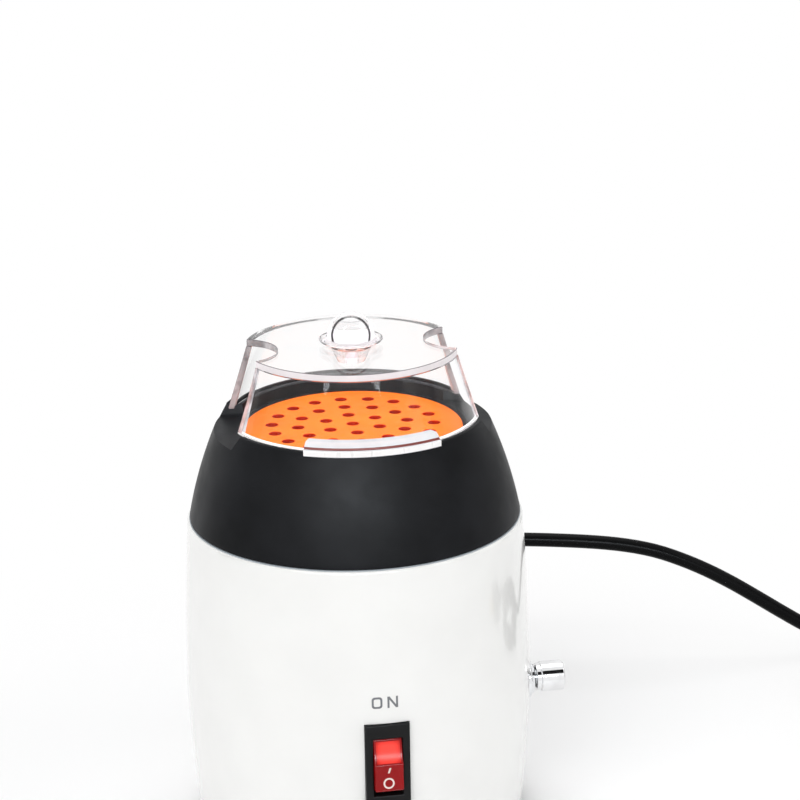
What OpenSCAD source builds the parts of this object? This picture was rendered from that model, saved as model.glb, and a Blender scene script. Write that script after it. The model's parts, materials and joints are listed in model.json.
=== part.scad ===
// Hot air warmer for spectacle frames, on a shop counter.
// Millimetres. +Z is up, the switch faces -Y, the side knob points to +X.
// The origin is the centre of the foot ring, on the counter.

/* [Barrel] */
// Greatest radius of the white barrel
belly_r = 64.6; // [64:0.1:65]
// Height above the counter of the greatest radius
belly_z = 56; // [52:1:60]
// Radius of the barrel's top edge
barrel_top_r = 62; // [61.8:0.1:62.4]
// Radius of the barrel's side carried down to the counter
barrel_foot_r = 61; // [60.8:0.1:61.4]
// Thickness of the barrel's wall
wall = 2.6; // [2.4:0.1:2.8]
// Number of air slots at the back
louvre_count = 9; // [5:2:9]

/* [Collar] */
// Height of the seam between barrel and collar
seam_z = 119.5; // [118:0.5:121]
// Radius of the collar at the seam
collar_base_r = 61.2; // [61:0.1:61.4]
// Depth of the side notches that the temples lie in
notch_depth = 5.2; // [4:0.2:5.2]
// Half the width of a side notch at its floor
notch_half_w = 20; // [16:1:21]

/* [Hot plate] */
// Radius of the orange hot plate
plate_r = 40.2; // [39.6:0.1:40.3]
// Thickness of the hot plate
plate_t = 4; // [3:0.1:4]
// Diameter of the air holes
air_hole_d = 4.2; // [3:0.1:4.4]

/* [Lid] */
// Height of the lid from its rim to the top of its disc
lid_h = 26.6; // [25:0.2:28]
// Outer radius of the lid at its rim
lid_rim_r = 46.64; // [46:0.02:46.64]
// Radius of the lid's top disc
lid_top_r = 39.1; // [38.5:0.1:39.5]
// Thickness of the clear sheet
lid_t = 2.1; // [1.8:0.1:2.4]
// Half the width of the side slots
slot_half_w = 15; // [13:0.5:16]

/* [Controls] */
// Height of the switch and of the knob above the counter
control_z = 46; // [45.5:0.5:47]
// Width of the rocker
rocker_w = 10.2; // [9:0.2:10.2]
// Angle of the rocker from its middle position to each side
rocker_tilt = 12; // [8:1:12]
// Diameter of the metal knob
knob_d = 11.6; // [11:0.2:14]

/* [Cord] */
// Outer diameter of the mains cord
cord_d = 6; // [5.6:0.1:6]
// Whole turns of the put-away coil
coil_turns = 5; // [4:1:5]

/* [Hidden] */

eps = 0.01;
round_fn = 96;
small_fn = 32;

// Heights of the foot and the base
foot_h = 3;
base_t = 3;
base_top = foot_h + base_t;

// Heights in the collar, up from the seam
deck_z = seam_z + 26.9;
seat_z = seam_z + 29.9;
ledge_z = seam_z + 38.9 - notch_depth;
rebate_z = seam_z + 37.7;
rim_z = seam_z + 38.9;
seam_half = 0.2;

// Where the lid's parts lie
lid_z = rebate_z + 0.2;
disc_top = lid_z + lid_h;
disc_t = 2.6;
disc_z = disc_top - disc_t;
slot_centre = 42;

// The fan, the duct and the heater, all on the vertical axis
duct_r = 36.2;
duct_t = 0.8;
duct_z = 78;
housing_in_r = 34.6;
housing_r = 37.6;
spider_z = 52;
spider_t = 3;
leg_at = 36.5;
shaft_r = 1.6;
run_gap = 0.05;

// The rear outlet of the cord
gland_z = 57;
gland_tip_y = 90;

// Radius of the barrel's outside at height z
function barrel_r(z) =
    z < belly_z
    ? belly_r - (belly_r - barrel_foot_r) * pow((belly_z - z) / belly_z, 1.7)
    : belly_r - (belly_r - barrel_top_r) * pow((z - belly_z) / (seam_z - belly_z), 1.7);

// Radius of the collar's outside at h above the seam
function collar_r(h) = collar_base_r - 0.185 * h - 0.0036 * h * h;

// Outer radius of the lid's cone at height z
function lid_r(z) = lid_rim_r + (lid_top_r + 0.2 - lid_rim_r) * (z - lid_z) / (disc_z - lid_z);

function unit(v) = v / norm(v);

// Places of n things on a circle, the first one at angle from
module around(n, r, from = 0) {
    for (k = [0 : n - 1])
        rotate([0, 0, from + k * 360 / n])
            translate([r, 0, 0])
                children();
}

// A screw standing on z = 0 with its shank up, and a cross in its head
module screw(head_r, head_h, shank_r, shank_h) {
    difference() {
        union() {
            cylinder(r = head_r, h = head_h, $fn = small_fn);
            translate([0, 0, head_h])
                cylinder(r = shank_r, h = shank_h, $fn = small_fn);
        }
        for (turn = [0, 90])
            rotate([0, 0, turn])
                translate([0, 0, head_h * 0.25])
                    cube([head_r * 1.2, head_r * 0.28, head_h * 0.5 + eps], center = true);
    }
}

// A tube swept along points: one ring a point, square to the path. ref is never along the path.
module tube(points, r, sides, ref = [0, 0, 1]) {
    last = len(points) - 1;
    rings = [
        for (i = [0 : last])
            let (
                ahead = unit(points[min(i + 1, last)] - points[max(i - 1, 0)]),
                side = unit(cross(ahead, ref)),
                up = cross(side, ahead)
            )
            for (k = [0 : sides - 1])
                points[i] + r * (cos(k * 360 / sides) * side + sin(k * 360 / sides) * up)
    ];
    walls = [
        for (i = [0 : last - 1])
            for (k = [0 : sides - 1])
                let (a = i * sides + k, b = i * sides + (k + 1) % sides)
                for (face = [[a, b, b + sides], [a, b + sides, a + sides]])
                    face
    ];
    near_cap = [for (k = [1 : sides - 2]) [0, k + 1, k]];
    end = last * sides;
    far_cap = [for (k = [1 : sides - 2]) [end, end + k, end + k + 1]];
    polyhedron(points = rings, faces = concat(walls, near_cap, far_cap), convexity = 6);
}

// ---------------------------------------------------------------- barrel and base

boss_at = 46;
louvre_step = 8;
seat_depth = 1;

module barrel_section() {
    outer = [for (z = [foot_h : 3 : seam_z - 3]) [barrel_r(z), z]];
    inner = [for (z = [seam_z - 9 : -3 : foot_h]) [barrel_r(z) - wall, z]];
    polygon(concat(
        outer,
        [
            [barrel_r(seam_z - 1.2), seam_z - 1.2],
            [barrel_top_r - 0.7, seam_z - seam_half],
            [58.6, seam_z - seam_half],
            [58.6, seam_z - 3.5],
            [47, seam_z - 3.5],
            [47, seam_z - 6],
            [barrel_r(seam_z - 6) - wall, seam_z - 6]
        ],
        inner,
        [[barrel_r(foot_h) - wall, foot_h]]
    ));
}

module barrel() {
    color("white")
    difference() {
        union() {
            rotate_extrude($fn = round_fn) barrel_section();
            around(4, boss_at, 45)
                translate([0, 0, base_top])
                    cylinder(r = 4, h = 18, $fn = small_fn);
            around(4, boss_at, 45)
                translate([3, -1.2, base_top])
                    cube([11.8, 2.4, 16]);
        }
        around(4, boss_at, 45)
            translate([0, 0, base_top - eps])
                cylinder(r = 1.55, h = 14, $fn = small_fn);
        around(3, 51.3, 30)
            translate([0, 0, seam_z - 7])
                cylinder(r = 1.7, h = 5, $fn = small_fn);
        // opening and flat seat of the switch
        translate([-6.8, -70, control_z - 15.1])
            cube([13.6, 20, 30.2]);
        translate([-8.2, -72, control_z - 16.7])
            cube([16.4, 72 - belly_r + 1.6, 33.4]);
        // hole and flat seat of the control
        translate([50, 0, control_z])
            rotate([0, 90, 0])
                cylinder(r = 4.7, h = 20, $fn = small_fn);
        translate([belly_r - seat_depth, 0, control_z])
            rotate([0, 90, 0])
                cylinder(r = 8.2, h = 8, $fn = small_fn);
        // hole and flat seat of the cord's gland
        translate([0, 50, gland_z])
            rotate([-90, 0, 0])
                cylinder(r = 5.9, h = 20, $fn = small_fn);
        translate([0, belly_r - seat_depth, gland_z])
            rotate([-90, 0, 0])
                cylinder(r = 8, h = 8, $fn = small_fn);
        // air slots at the back
        for (k = [0 : louvre_count - 1])
            rotate([0, 0, (k - (louvre_count - 1) / 2) * louvre_step])
                translate([-1.5, 50, 14])
                    cube([3, 20, 24]);
    }
}

module seam_ring() {
    color("lightsteelblue")
    translate([0, 0, seam_z - seam_half])
        difference() {
            cylinder(r = collar_base_r, h = 2 * seam_half, $fn = round_fn);
            translate([0, 0, -1])
                cylinder(r = 58.5, h = 3, $fn = round_fn);
        }
}

module base_plate() {
    color("dimgray")
    difference() {
        translate([0, 0, foot_h])
            cylinder(r = 58.2, h = base_t, $fn = round_fn);
        around(4, boss_at, 45)
            counterbore();
        around(3, leg_at, 90)
            counterbore();
        // air slots between the legs
        around(12, 0, 15)
            translate([15, -1.6, foot_h - 1])
                cube([17, 3.2, 6]);
    }
}

module counterbore() {
    translate([0, 0, foot_h - 1])
        cylinder(r = 1.7, h = base_t + 2, $fn = small_fn);
    translate([0, 0, foot_h - 1])
        cylinder(r = 3.2, h = 2.6, $fn = small_fn);
}

module base_screws() {
    color("silver")
    around(4, boss_at, 45)
        translate([0, 0, foot_h + 0.1])
            screw(3, 1.5, 1.5, 12);
}

module housing_screws() {
    color("silver")
    around(3, leg_at, 90)
        translate([0, 0, foot_h + 0.1])
            screw(3, 1.5, 1.5, 12);
}

module foot_ring() {
    color("black")
    difference() {
        cylinder(r = 56, h = foot_h, $fn = round_fn);
        translate([0, 0, -1])
            cylinder(r = 50.5, h = foot_h + 2, $fn = round_fn);
        // air passes over these cuts and under the barrel's edge
        around(12, 0, 15)
            translate([48, -5, 1.2])
                cube([10, 10, foot_h]);
    }
}

// ---------------------------------------------------------------- collar and hot plate

module collar_section() {
    outer = [for (h = [2.4 : 3.2 : 37.6]) [collar_r(h), seam_z + h]];
    inner = [for (h = [27 : -3 : 3]) [collar_r(h) - 3, seam_z + h]];
    polygon(concat(
        [
            [55.4, seam_z - 3.5],
            [58.2, seam_z - 3.5],
            [58.2, seam_z + seam_half],
            [collar_base_r - 0.7, seam_z + seam_half],
            [collar_r(1), seam_z + 1]
        ],
        outer,
        [
            [collar_r(38.9) - 0.6, rim_z],
            [46.95, rim_z],
            [46.95, rebate_z],
            [43.6, rebate_z],
            [42.7, ledge_z],
            [41.9, ledge_z],
            [40.6, ledge_z - 1],
            [40.6, seat_z],
            [38.4, seat_z],
            [38.4, deck_z],
            [44.8, deck_z],
            [44.8, deck_z + 3.6],
            [collar_r(30) - 3, deck_z + 3.6]
        ],
        inner,
        [[55.4, seam_z + seam_half]]
    ));
}

// What a side notch takes away: a flat floor and steep walls
module notch_cutter() {
    foot_round = 1.2;
    top_z = rim_z + 5;
    rotate([90, 0, 90])
        linear_extrude(30)
            polygon([
                [-notch_half_w + foot_round, ledge_z],
                [notch_half_w - foot_round, ledge_z],
                [notch_half_w - 0.3, ledge_z + foot_round * 0.35],
                [notch_half_w + 0.2, ledge_z + foot_round],
                [notch_half_w + 3, top_z],
                [-notch_half_w - 3, top_z],
                [-notch_half_w - 0.2, ledge_z + foot_round],
                [-notch_half_w + 0.3, ledge_z + foot_round * 0.35]
            ]);
}

module collar() {
    color("#2b2d30")
    difference() {
        union() {
            rotate_extrude($fn = round_fn) collar_section();
            around(3, 51.3, 30)
                translate([0, 0, seam_z - 3.5])
                    cylinder(r = 4.4, h = 16, $fn = small_fn);
        }
        around(3, 51.3, 30)
            translate([0, 0, seam_z - 4])
                cylinder(r = 1.55, h = 14, $fn = small_fn);
        around(3, 41, 90)
            translate([0, 0, deck_z - eps])
                cylinder(r = 1.05, h = 2.6, $fn = small_fn);
        for (turn = [0, 180])
            rotate([0, 0, turn])
                translate([30, 0, 0])
                    notch_cutter();
    }
}

module collar_screws() {
    color("silver")
    around(3, 51.3, 30)
        translate([0, 0, seam_z - 8])
            screw(3, 2, 1.5, 13);
}

// The rings of air holes: radius and count of each
hole_rings = [[10.5, 6], [20.2, 12], [29.7, 18]];

module hot_plate() {
    edge = 0.8;
    color("#ff8c50")
    difference() {
        translate([0, 0, seat_z])
            rotate_extrude($fn = round_fn)
                polygon([
                    [0, 0],
                    [plate_r, 0],
                    [plate_r, plate_t - edge],
                    [plate_r - edge * 0.3, plate_t - edge * 0.3],
                    [plate_r - edge, plate_t],
                    [0, plate_t]
                ]);
        translate([0, 0, seat_z - 1])
            cylinder(d = air_hole_d, h = plate_t + 2, $fn = small_fn);
        for (ring = hole_rings)
            around(ring[1], ring[0], 90)
                translate([0, 0, seat_z - 1])
                    cylinder(d = air_hole_d, h = plate_t + 2, $fn = small_fn);
    }
}

// ---------------------------------------------------------------- duct, heater and fan

module heat_duct() {
    color("gainsboro")
    difference() {
        union() {
            translate([0, 0, duct_z])
                cylinder(r = duct_r, h = deck_z - duct_z, $fn = round_fn);
            translate([0, 0, deck_z - 1])
                cylinder(r = 43.4, h = 1, $fn = round_fn);
        }
        translate([0, 0, duct_z - 1])
            cylinder(r = duct_r - duct_t, h = 100, $fn = round_fn);
        around(3, 41, 90)
            translate([0, 0, deck_z - 2])
                cylinder(r = 1.3, h = 4, $fn = small_fn);
    }
}

module duct_screws() {
    color("silver")
    around(3, 41, 90)
        translate([0, 0, deck_z - 2.4])
            screw(2.2, 1.4, 1, 3.4);
}

module insulation_sleeve() {
    color("oldlace")
    translate([0, 0, duct_z + 24])
        difference() {
            cylinder(r = duct_r + 3.2, h = 40, $fn = round_fn);
            translate([0, 0, -1])
                cylinder(r = duct_r + 0.1, h = 42, $fn = round_fn);
        }
}

winding_r = 28.6;
winding_wire_r = 0.8;
winding_z = 98;
winding_pitch = 4.2;
winding_turns = 9;

module mica_cross() {
    color("tan")
    for (turn = [0, 90])
        rotate([90, 0, turn])
            translate([0, 0, -0.5])
                linear_extrude(1)
                    polygon([
                        [-35.2, duct_z], [35.2, duct_z], [35.2, duct_z + 12], [27.4, duct_z + 14],
                        [27.4, deck_z - 4], [-27.4, deck_z - 4], [-27.4, duct_z + 14], [-35.2, duct_z + 12]
                    ]);
}

module heater_winding() {
    rings_a_turn = 12;
    color("darkgray")
    tube(
        [
            for (i = [0 : winding_turns * rings_a_turn])
                let (turn = i / rings_a_turn)
                [
                    winding_r * cos(turn * 360),
                    winding_r * sin(turn * 360),
                    winding_z + winding_pitch * turn
                ]
        ],
        winding_wire_r,
        6
    );
}

module thermal_cutout() {
    color("silver")
    translate([-duct_r - 0.1, 0, duct_z + 13])
        rotate([0, -90, 0]) {
            cylinder(r = 7.6, h = 3, $fn = small_fn);
            translate([0, 0, 3])
                cylinder(r = 6.4, h = 4, $fn = small_fn);
            for (y = [-3.4, 3.4])
                translate([-0.4, y - 1.6, 7])
                    cube([0.8, 3.2, 6]);
        }
}

module thermal_fuse() {
    color("ivory")
    translate([0, duct_r + 2.3, 84]) {
        cylinder(r = 2, h = 9, $fn = small_fn);
        translate([0, 0, -6])
            cylinder(r = 0.5, h = 21, $fn = small_fn);
    }
}

module fan_housing() {
    color("darkslategray")
    difference() {
        union() {
            translate([0, 0, spider_z - 1.5])
                difference() {
                    cylinder(r = housing_r, h = 31.5, $fn = round_fn);
                    translate([0, 0, -1])
                        cylinder(r = housing_in_r, h = 40, $fn = round_fn);
                }
            translate([0, 0, spider_z])
                cylinder(r = 17, h = spider_t, $fn = round_fn);
            around(3, 0, 90)
                translate([14, -3, spider_z])
                    cube([21.5, 6, spider_t]);
            around(3, leg_at, 90)
                translate([0, 0, base_top])
                    cylinder(r = 4.2, h = spider_z + 1.2 - base_top, $fn = small_fn);
        }
        // socket of the duct
        translate([0, 0, duct_z])
            cylinder(r = duct_r + 0.1, h = 10, $fn = round_fn);
        translate([0, 0, spider_z - 1])
            cylinder(r = 5.6, h = 10, $fn = small_fn);
        around(2, 9, 45)
            translate([0, 0, spider_z - 1])
                cylinder(r = 1.3, h = 10, $fn = small_fn);
        around(3, leg_at, 90)
            translate([0, 0, base_top - eps])
                cylinder(r = 1.55, h = 12, $fn = small_fn);
    }
}

module fan_motor() {
    color("slategray")
    difference() {
        union() {
            translate([0, 0, 24])
                cylinder(r = 14.6, h = spider_z - 24, $fn = round_fn);
            translate([0, 0, 20])
                cylinder(r = 11, h = 5, $fn = small_fn);
            translate([0, 0, spider_z - 1])
                cylinder(r = 5.4, h = 3, $fn = small_fn);
            for (x = [-7, 7])
                translate([x - 0.4, -2.5, 14])
                    cube([0.8, 5, 7]);
        }
        translate([0, 0, 27])
            cylinder(r = shaft_r + run_gap, h = 40, $fn = small_fn);
        around(2, 9, 45)
            translate([0, 0, spider_z - 6])
                cylinder(r = 1.15, h = 10, $fn = small_fn);
    }
}

module motor_screws() {
    color("silver")
    around(2, 9, 45)
        translate([0, 0, spider_z + spider_t + 1.4])
            mirror([0, 0, 1])
                screw(2.2, 1.4, 1.1, 8);
}

module motor_shaft() {
    color("silver")
    translate([0, 0, 28])
        cylinder(r = shaft_r, h = 47, $fn = small_fn);
}

blade_count = 7;
hub_r = 8.5;
blade_tip_r = 33.2;
impeller_z = 66;

module fan_impeller() {
    color("seashell")
    difference() {
        union() {
            translate([0, 0, impeller_z - 6])
                cylinder(r = hub_r, h = 12, $fn = round_fn);
            for (k = [0 : blade_count - 1])
                rotate([0, 0, k * 360 / blade_count])
                    intersection() {
                        translate([hub_r - 1.5, 0, impeller_z])
                            rotate([40, 0, 0])
                                translate([0, -8, -0.7])
                                    cube([30, 16, 1.4]);
                        translate([0, 0, impeller_z - 8])
                            cylinder(r = blade_tip_r, h = 16, $fn = round_fn);
                    }
        }
        translate([0, 0, impeller_z - 10])
            cylinder(r = shaft_r, h = 20, $fn = small_fn);
    }
}

// ---------------------------------------------------------------- electrical parts inside

module terminal_block() {
    color("ivory")
    translate([-43, 10, base_top])
        difference() {
            cube([30, 14, 11]);
            for (x = [5, 15, 25])
                translate([x, -1, 5.5])
                    rotate([-90, 0, 0])
                        cylinder(r = 1.7, h = 16, $fn = small_fn);
            for (x = [5, 15, 25])
                translate([x, 7, 6])
                    cylinder(r = 2, h = 6, $fn = small_fn);
        }
}

// The routes of the insulated wires inside, chosen by hand
wire_routes = [
    [[-1, 56.6, 57], [-2, 52, 54], [-4, 48, 48], [-8, 44, 40], [-13, 39, 31], [-19, 34.5, 22],
        [-25, 30, 14.5], [-28, 24.3, 11.5]],
    [[-38, 9.7, 11.5], [-40, 5, 12.5], [-42.5, -2, 16], [-43, -9, 20], [-41, -17, 25], [-35, -27, 32],
        [-25, -34, 39], [-14, -37, 44], [-4.6, -39, 46]],
    [[4.6, -39, 46], [12, -38, 45], [22, -37, 44], [32, -33, 43], [41, -25, 43], [46, -15, 44],
        [48.2, -6, 46]],
    [[48.2, 6, 46], [46, 12, 42], [42, 18, 36], [36, 22, 29], [28, 22, 22], [19, 17, 17], [13, 9, 15],
        [9.4, 3.4, 16]],
];

module wiring() {
    color("firebrick")
    for (route = wire_routes)
        tube(route, 1.2, 8, [0.3, 0.2, 1]);
}

// ---------------------------------------------------------------- switch at the front

bezel_y = -belly_r + 1.6;
bezel_t = 2.6;
pivot = [0, -59.1, control_z];
pin_r = 1.5;

module switch_housing() {
    color("#1c1c1e")
    difference() {
        union() {
            translate([-8, bezel_y - bezel_t, control_z - 16.5])
                cube([16, bezel_t, 33]);
            translate([-6.6, bezel_y, control_z - 14.9])
                cube([13.2, 20.4, 29.8]);
        }
        translate([-5.35, bezel_y - bezel_t - 1, control_z - 11.1])
            cube([10.7, 18.5, 22.2]);
        translate([-6.2, pivot[1], control_z])
            rotate([0, 90, 0])
                cylinder(r = pin_r + run_gap, h = 12.4, $fn = small_fn);
    }
}

module switch_terminals() {
    color("gold")
    for (z = [-9, 0, 9])
        translate([-3.2, bezel_y + 20.4, control_z + z - 0.4])
            cube([6.4, 4, 0.8]);
}

// The side of the rocker in its middle position: out from the pin, and up
rocker_side = [
    [9.4, 0], [7.6, 9.2], [6.9, 9.7], [2.6, 9.9], [-2.4, 6], [-3.4, 0],
    [-2.4, -6], [2.6, -9.9], [6.9, -9.7], [7.6, -9.2]
];

module switch_rocker() {
    color("red")
    translate(pivot)
        rotate([-rocker_tilt, 0, 0]) {
            translate([rocker_w / 2, 0, 0])
                rotate([90, 0, -90])
                    linear_extrude(rocker_w)
                        polygon(rocker_side);
            translate([-6.1, 0, 0])
                rotate([0, 90, 0])
                    cylinder(r = pin_r, h = 12.2, $fn = small_fn);
        }
}

// ---------------------------------------------------------------- control at the right side

control_x = 60.2;
control_shaft_r = 3;

// A body turned about the control's axis: points are radius and place along +X
module turned_on_x(points) {
    translate([0, 0, control_z])
        rotate([0, 90, 0])
            rotate_extrude($fn = round_fn)
                polygon(points);
}

module control_body() {
    color("darkolivegreen")
    difference() {
        turned_on_x([
            [0, control_x - 10], [11, control_x - 10], [11, control_x], [4.5, control_x],
            [4.5, control_x + 7.4], [0, control_x + 7.4]
        ]);
        translate([control_x - 9, 0, control_z])
            rotate([0, 90, 0])
                cylinder(r = control_shaft_r + run_gap, h = 20, $fn = small_fn);
    }
}

module control_nut() {
    nut_x = belly_r - seat_depth;
    color("gainsboro")
    turned_on_x([
        [4.6, nut_x], [7.7, nut_x], [7.7, nut_x + 1.6], [7.1, nut_x + 2.3],
        [6.2, nut_x + 2.6], [6.2, nut_x + 3.4], [4.6, nut_x + 3.4]
    ]);
}

module control_shaft() {
    color("silver")
    translate([control_x - 8.6, 0, control_z])
        rotate([0, 90, 0])
            cylinder(r = control_shaft_r, h = 25.6, $fn = small_fn);
}

module side_knob() {
    neck_x = 68.2;
    head_x = 70;
    face_x = 79;
    knob_r = knob_d / 2;
    color("gainsboro")
    turned_on_x([
        [control_shaft_r, neck_x], [4.5, neck_x], [4.5, head_x], [knob_r - 0.5, head_x],
        [knob_r, head_x + 0.5], [knob_r, head_x + 1.6], [knob_r - 0.4, head_x + 1.8],
        [knob_r - 0.4, head_x + 2.4], [knob_r, head_x + 2.6], [knob_r, face_x - 0.8],
        [knob_r - 0.8, face_x], [0, face_x], [0, face_x - 1.6], [control_shaft_r, face_x - 1.6]
    ]);
}

// ---------------------------------------------------------------- cord at the back

module cord_gland() {
    seat_y = belly_r - seat_depth;
    ribs = 5;
    rib_step = 4.2;
    first_rib = seat_y + 3;
    color("#1a1a1a")
    translate([0, 0, gland_z])
        rotate([-90, 0, 0])
            rotate_extrude($fn = small_fn)
                polygon(concat(
                    [
                        [0, 57.4], [5.8, 57.4], [5.8, seat_y], [7.6, seat_y], [7.6, seat_y + 1.8],
                        [6.8, seat_y + 2.6]
                    ],
                    [
                        for (k = [0 : ribs - 1])
                            let (y = first_rib + k * rib_step, r = 6 - k * 0.4)
                            for (p = [
                                [r, y], [r, y + 2.6], [r - 1.2, y + 2.9], [r - 1.2, y + rib_step - 0.3]
                            ])
                                p
                    ],
                    [[4, first_rib + ribs * rib_step], [3.8, gland_tip_y], [0, gland_tip_y]]
                ));
}

module gland_clip() {
    color("#1a1a1a")
    translate([0, 57.4, gland_z])
        rotate([-90, 0, 0])
            difference() {
                cylinder(r = 8.4, h = 3, $fn = small_fn);
                translate([0, 0, -1])
                    cylinder(r = 5.9, h = 5, $fn = small_fn);
            }
}

// The cord from the gland's tip to the coil, chosen by hand: level out of the gland, round to the
// right, down under its own weight and along the counter
cord_route = [
    [0, 90, 57], [0, 97, 57], [1.2, 104, 57], [5, 111.5, 57], [11.5, 118, 57], [20.5, 122.8, 57],
    [32, 125, 57], [46, 124.2, 57], [61, 122.2, 57], [76, 120, 56.8], [91, 118, 56.3], [106, 115.7, 55.5],
    [121, 113.4, 54.3], [134, 111.5, 52.5], [146, 109.7, 49.7], [157, 108, 45.6], [168, 106.4, 40.4],
    [179, 104.7, 34.2], [190, 103, 27.2], [201, 101.3, 20], [212, 99.7, 13.2], [224, 97.9, 7.7],
    [237, 96, 4.3], [250, 94.1, 3], [256, 93.2, 3]
];

coil_r = 42.5;
coil_step = 6.6;
coil_rings = 24;
coil_part_turn = 81.6 / 360;
tail_length = 36;
tie_angle = 170;
tie_lift = 1;
heading = unit(cord_route[24] - cord_route[23]);
coil_centre = cord_route[24] + cord_d * heading + coil_r * [heading[1], -heading[0], 0];
start_angle = atan2(-heading[0], heading[1]) + 180;
turns = coil_turns + coil_part_turn;
inward = (turns - 0.5) / 2;

// Radius and height of the cord's middle after t turns: in on the lower layer, out on the upper one
function coil_radius(t) =
    t < inward ? coil_r - coil_step * t
    : t < inward + 0.5
        ? coil_r - coil_step * inward + coil_step * (2 * pow(t - inward, 2) - (t - inward))
        : coil_r - coil_step * (turns - t);
function climb(u) = u * u * (3 - 2 * u);
function coil_height(t) =
    cord_d / 2 + coil_step * climb(min(1, max(0, (t - inward) / 0.5)))
    + tie_lift * pow(max(0, cos(start_angle - 360 * t - tie_angle)), 6);
function coil_point(t) =
    [coil_centre[0], coil_centre[1], coil_height(t)]
    + coil_radius(t) * [cos(start_angle - 360 * t), sin(start_angle - 360 * t), 0];

coil_last = ceil(turns * coil_rings);
coil_turned = [for (i = [0 : coil_last]) coil_point(turns * i / coil_last)];
tail_way = unit([sin(start_angle - 360 * turns), -cos(start_angle - 360 * turns), 0]);
coil_points = concat(
    [cord_route[24]],
    coil_turned,
    [coil_turned[coil_last] + tail_length / 2 * tail_way, coil_turned[coil_last] + tail_length * tail_way]
);

// The least gap of the coil to itself, over pairs of points more than half a turn apart
coil_gap = min([
    for (i = [0 : coil_last])
        for (j = [i + coil_rings / 2 : coil_last])
            norm(coil_turned[i] - coil_turned[j])
]) - cord_d;
echo(str("least gap of the coil to itself: ", coil_gap, " mm"));

module power_cord() {
    color("#151515")
    tube(cord_route, cord_d / 2, 10);
}

module cord_coil() {
    color("#151515")
    tube(coil_points, cord_d / 2, 6);
}

module cord_tie() {
    // at the tie the innermost pass is the third one and the outermost is the last one
    first_pass = (start_angle + 360 - tie_angle) / 360;
    inner_r = coil_radius(first_pass + 2) - cord_d / 2 - 0.5;
    outer_r = coil_radius(first_pass + coil_turns - 1) + cord_d / 2 + 0.5;
    low = tie_lift - 0.2;
    high = tie_lift + cord_d + coil_step + 0.4;
    band = 0.8;
    color("#303030")
    translate([coil_centre[0], coil_centre[1], 0])
        rotate([0, 0, tie_angle])
            translate([0, 4, 0])
                rotate([90, 0, 0])
                    linear_extrude(8)
                        difference() {
                            translate([inner_r - band, low - band])
                                square([outer_r - inner_r + 2 * band, high - low + 2 * band]);
                            translate([inner_r, low])
                                square([outer_r - inner_r, high - low]);
                        }
}

plug_start = coil_points[len(coil_points) - 1];
plug_w = 26;
plug_h = 2 * (plug_start[2]);
plug_tail = 16;
plug_l = 30;

// Turns a thing built along +Z from the origin to lie along the cord's end
module at_plug() {
    translate(plug_start)
        rotate([0, 0, atan2(tail_way[1], tail_way[0]) + 90])
            rotate([90, 0, 0])
                children();
}

module plug_body() {
    corner = 5;
    color("#1a1a1a")
    at_plug() {
        rotate_extrude($fn = small_fn)
            polygon([
                [0, 0], [3.8, 0], [4.2, 3], [3.6, 3.4], [4.5, 7], [3.9, 7.4], [4.9, 11],
                [5.8, plug_tail + 0.5], [0, plug_tail + 0.5]
            ]);
        translate([0, 0, plug_tail])
            linear_extrude(plug_l) {
                square([plug_w - 2 * corner, plug_h], center = true);
                square([plug_w, plug_h - 2 * corner], center = true);
                for (x = [-1, 1], y = [-1, 1])
                    translate([x * (plug_w / 2 - corner), y * (plug_h / 2 - corner)])
                        circle(r = corner, $fn = small_fn);
            }
    }
}

module plug_blades() {
    color("silver")
    at_plug()
        for (x = [-6.35, 6.35])
            translate([x - 0.75, -3.2, plug_tail + plug_l])
                cube([1.5, 6.4, 17]);
}

// ---------------------------------------------------------------- clear lid

// What the side slots take away: a straight channel with a round end, on both sides
module slot_cutter() {
    for (turn = [0, 180])
        rotate([0, 0, turn])
            translate([slot_centre, 0, lid_z - 5]) {
                cylinder(r = slot_half_w, h = lid_h + 10, $fn = round_fn);
                translate([0, -slot_half_w, 0])
                    cube([20, 2 * slot_half_w, lid_h + 10]);
            }
}

module lid_panel(side) {
    difference() {
        rotate_extrude($fn = round_fn)
            polygon([
                [lid_r(lid_z) - lid_t, lid_z],
                [lid_r(lid_z) - 0.4, lid_z],
                [lid_r(lid_z + 0.5), lid_z + 0.5],
                [lid_r(disc_z), disc_z],
                [lid_r(disc_z) - lid_t, disc_z]
            ]);
        slot_cutter();
        translate([-60, side > 0 ? -60 : 0, lid_z - 1])
            cube([120, 60, lid_h + 2]);
    }
}

module lid_front_panel() {
    color([0.9, 0.95, 1, 0.4]) lid_panel(-1);
}

module lid_rear_panel() {
    color([0.9, 0.95, 1, 0.4]) lid_panel(1);
}

module lid_disc() {
    edge = 0.5;
    color([0.9, 0.95, 1, 0.4])
    difference() {
        translate([0, 0, disc_z])
            rotate_extrude($fn = round_fn)
                polygon([
                    [2.1, 0],
                    [lid_top_r, 0],
                    [lid_top_r, disc_t - edge],
                    [lid_top_r - edge, disc_t],
                    [2.1, disc_t]
                ]);
        slot_cutter();
    }
}

// The lip that the lid is lifted by: it hooks over the collar's front edge
module lid_front_lip() {
    lip_z = rim_z + 0.4;
    lip_top = lip_z + 3.6;
    film = 0.03;
    color([0.95, 0.97, 1, 0.6])
    rotate([0, 0, 241.5])
        rotate_extrude(angle = 57, $fn = round_fn)
            polygon([
                [lid_r(lip_z) + film, lip_z],
                [49.7, lip_z],
                [49.7, lip_z - 1.1],
                [51.2, lip_z - 1.1],
                [51.2, lip_z + 1.5],
                [48.3, lip_top],
                [lid_r(lip_top) + film, lip_top]
            ]);
}

spigot_r = 2.05;
lid_nut_h = 5.3;

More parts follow.
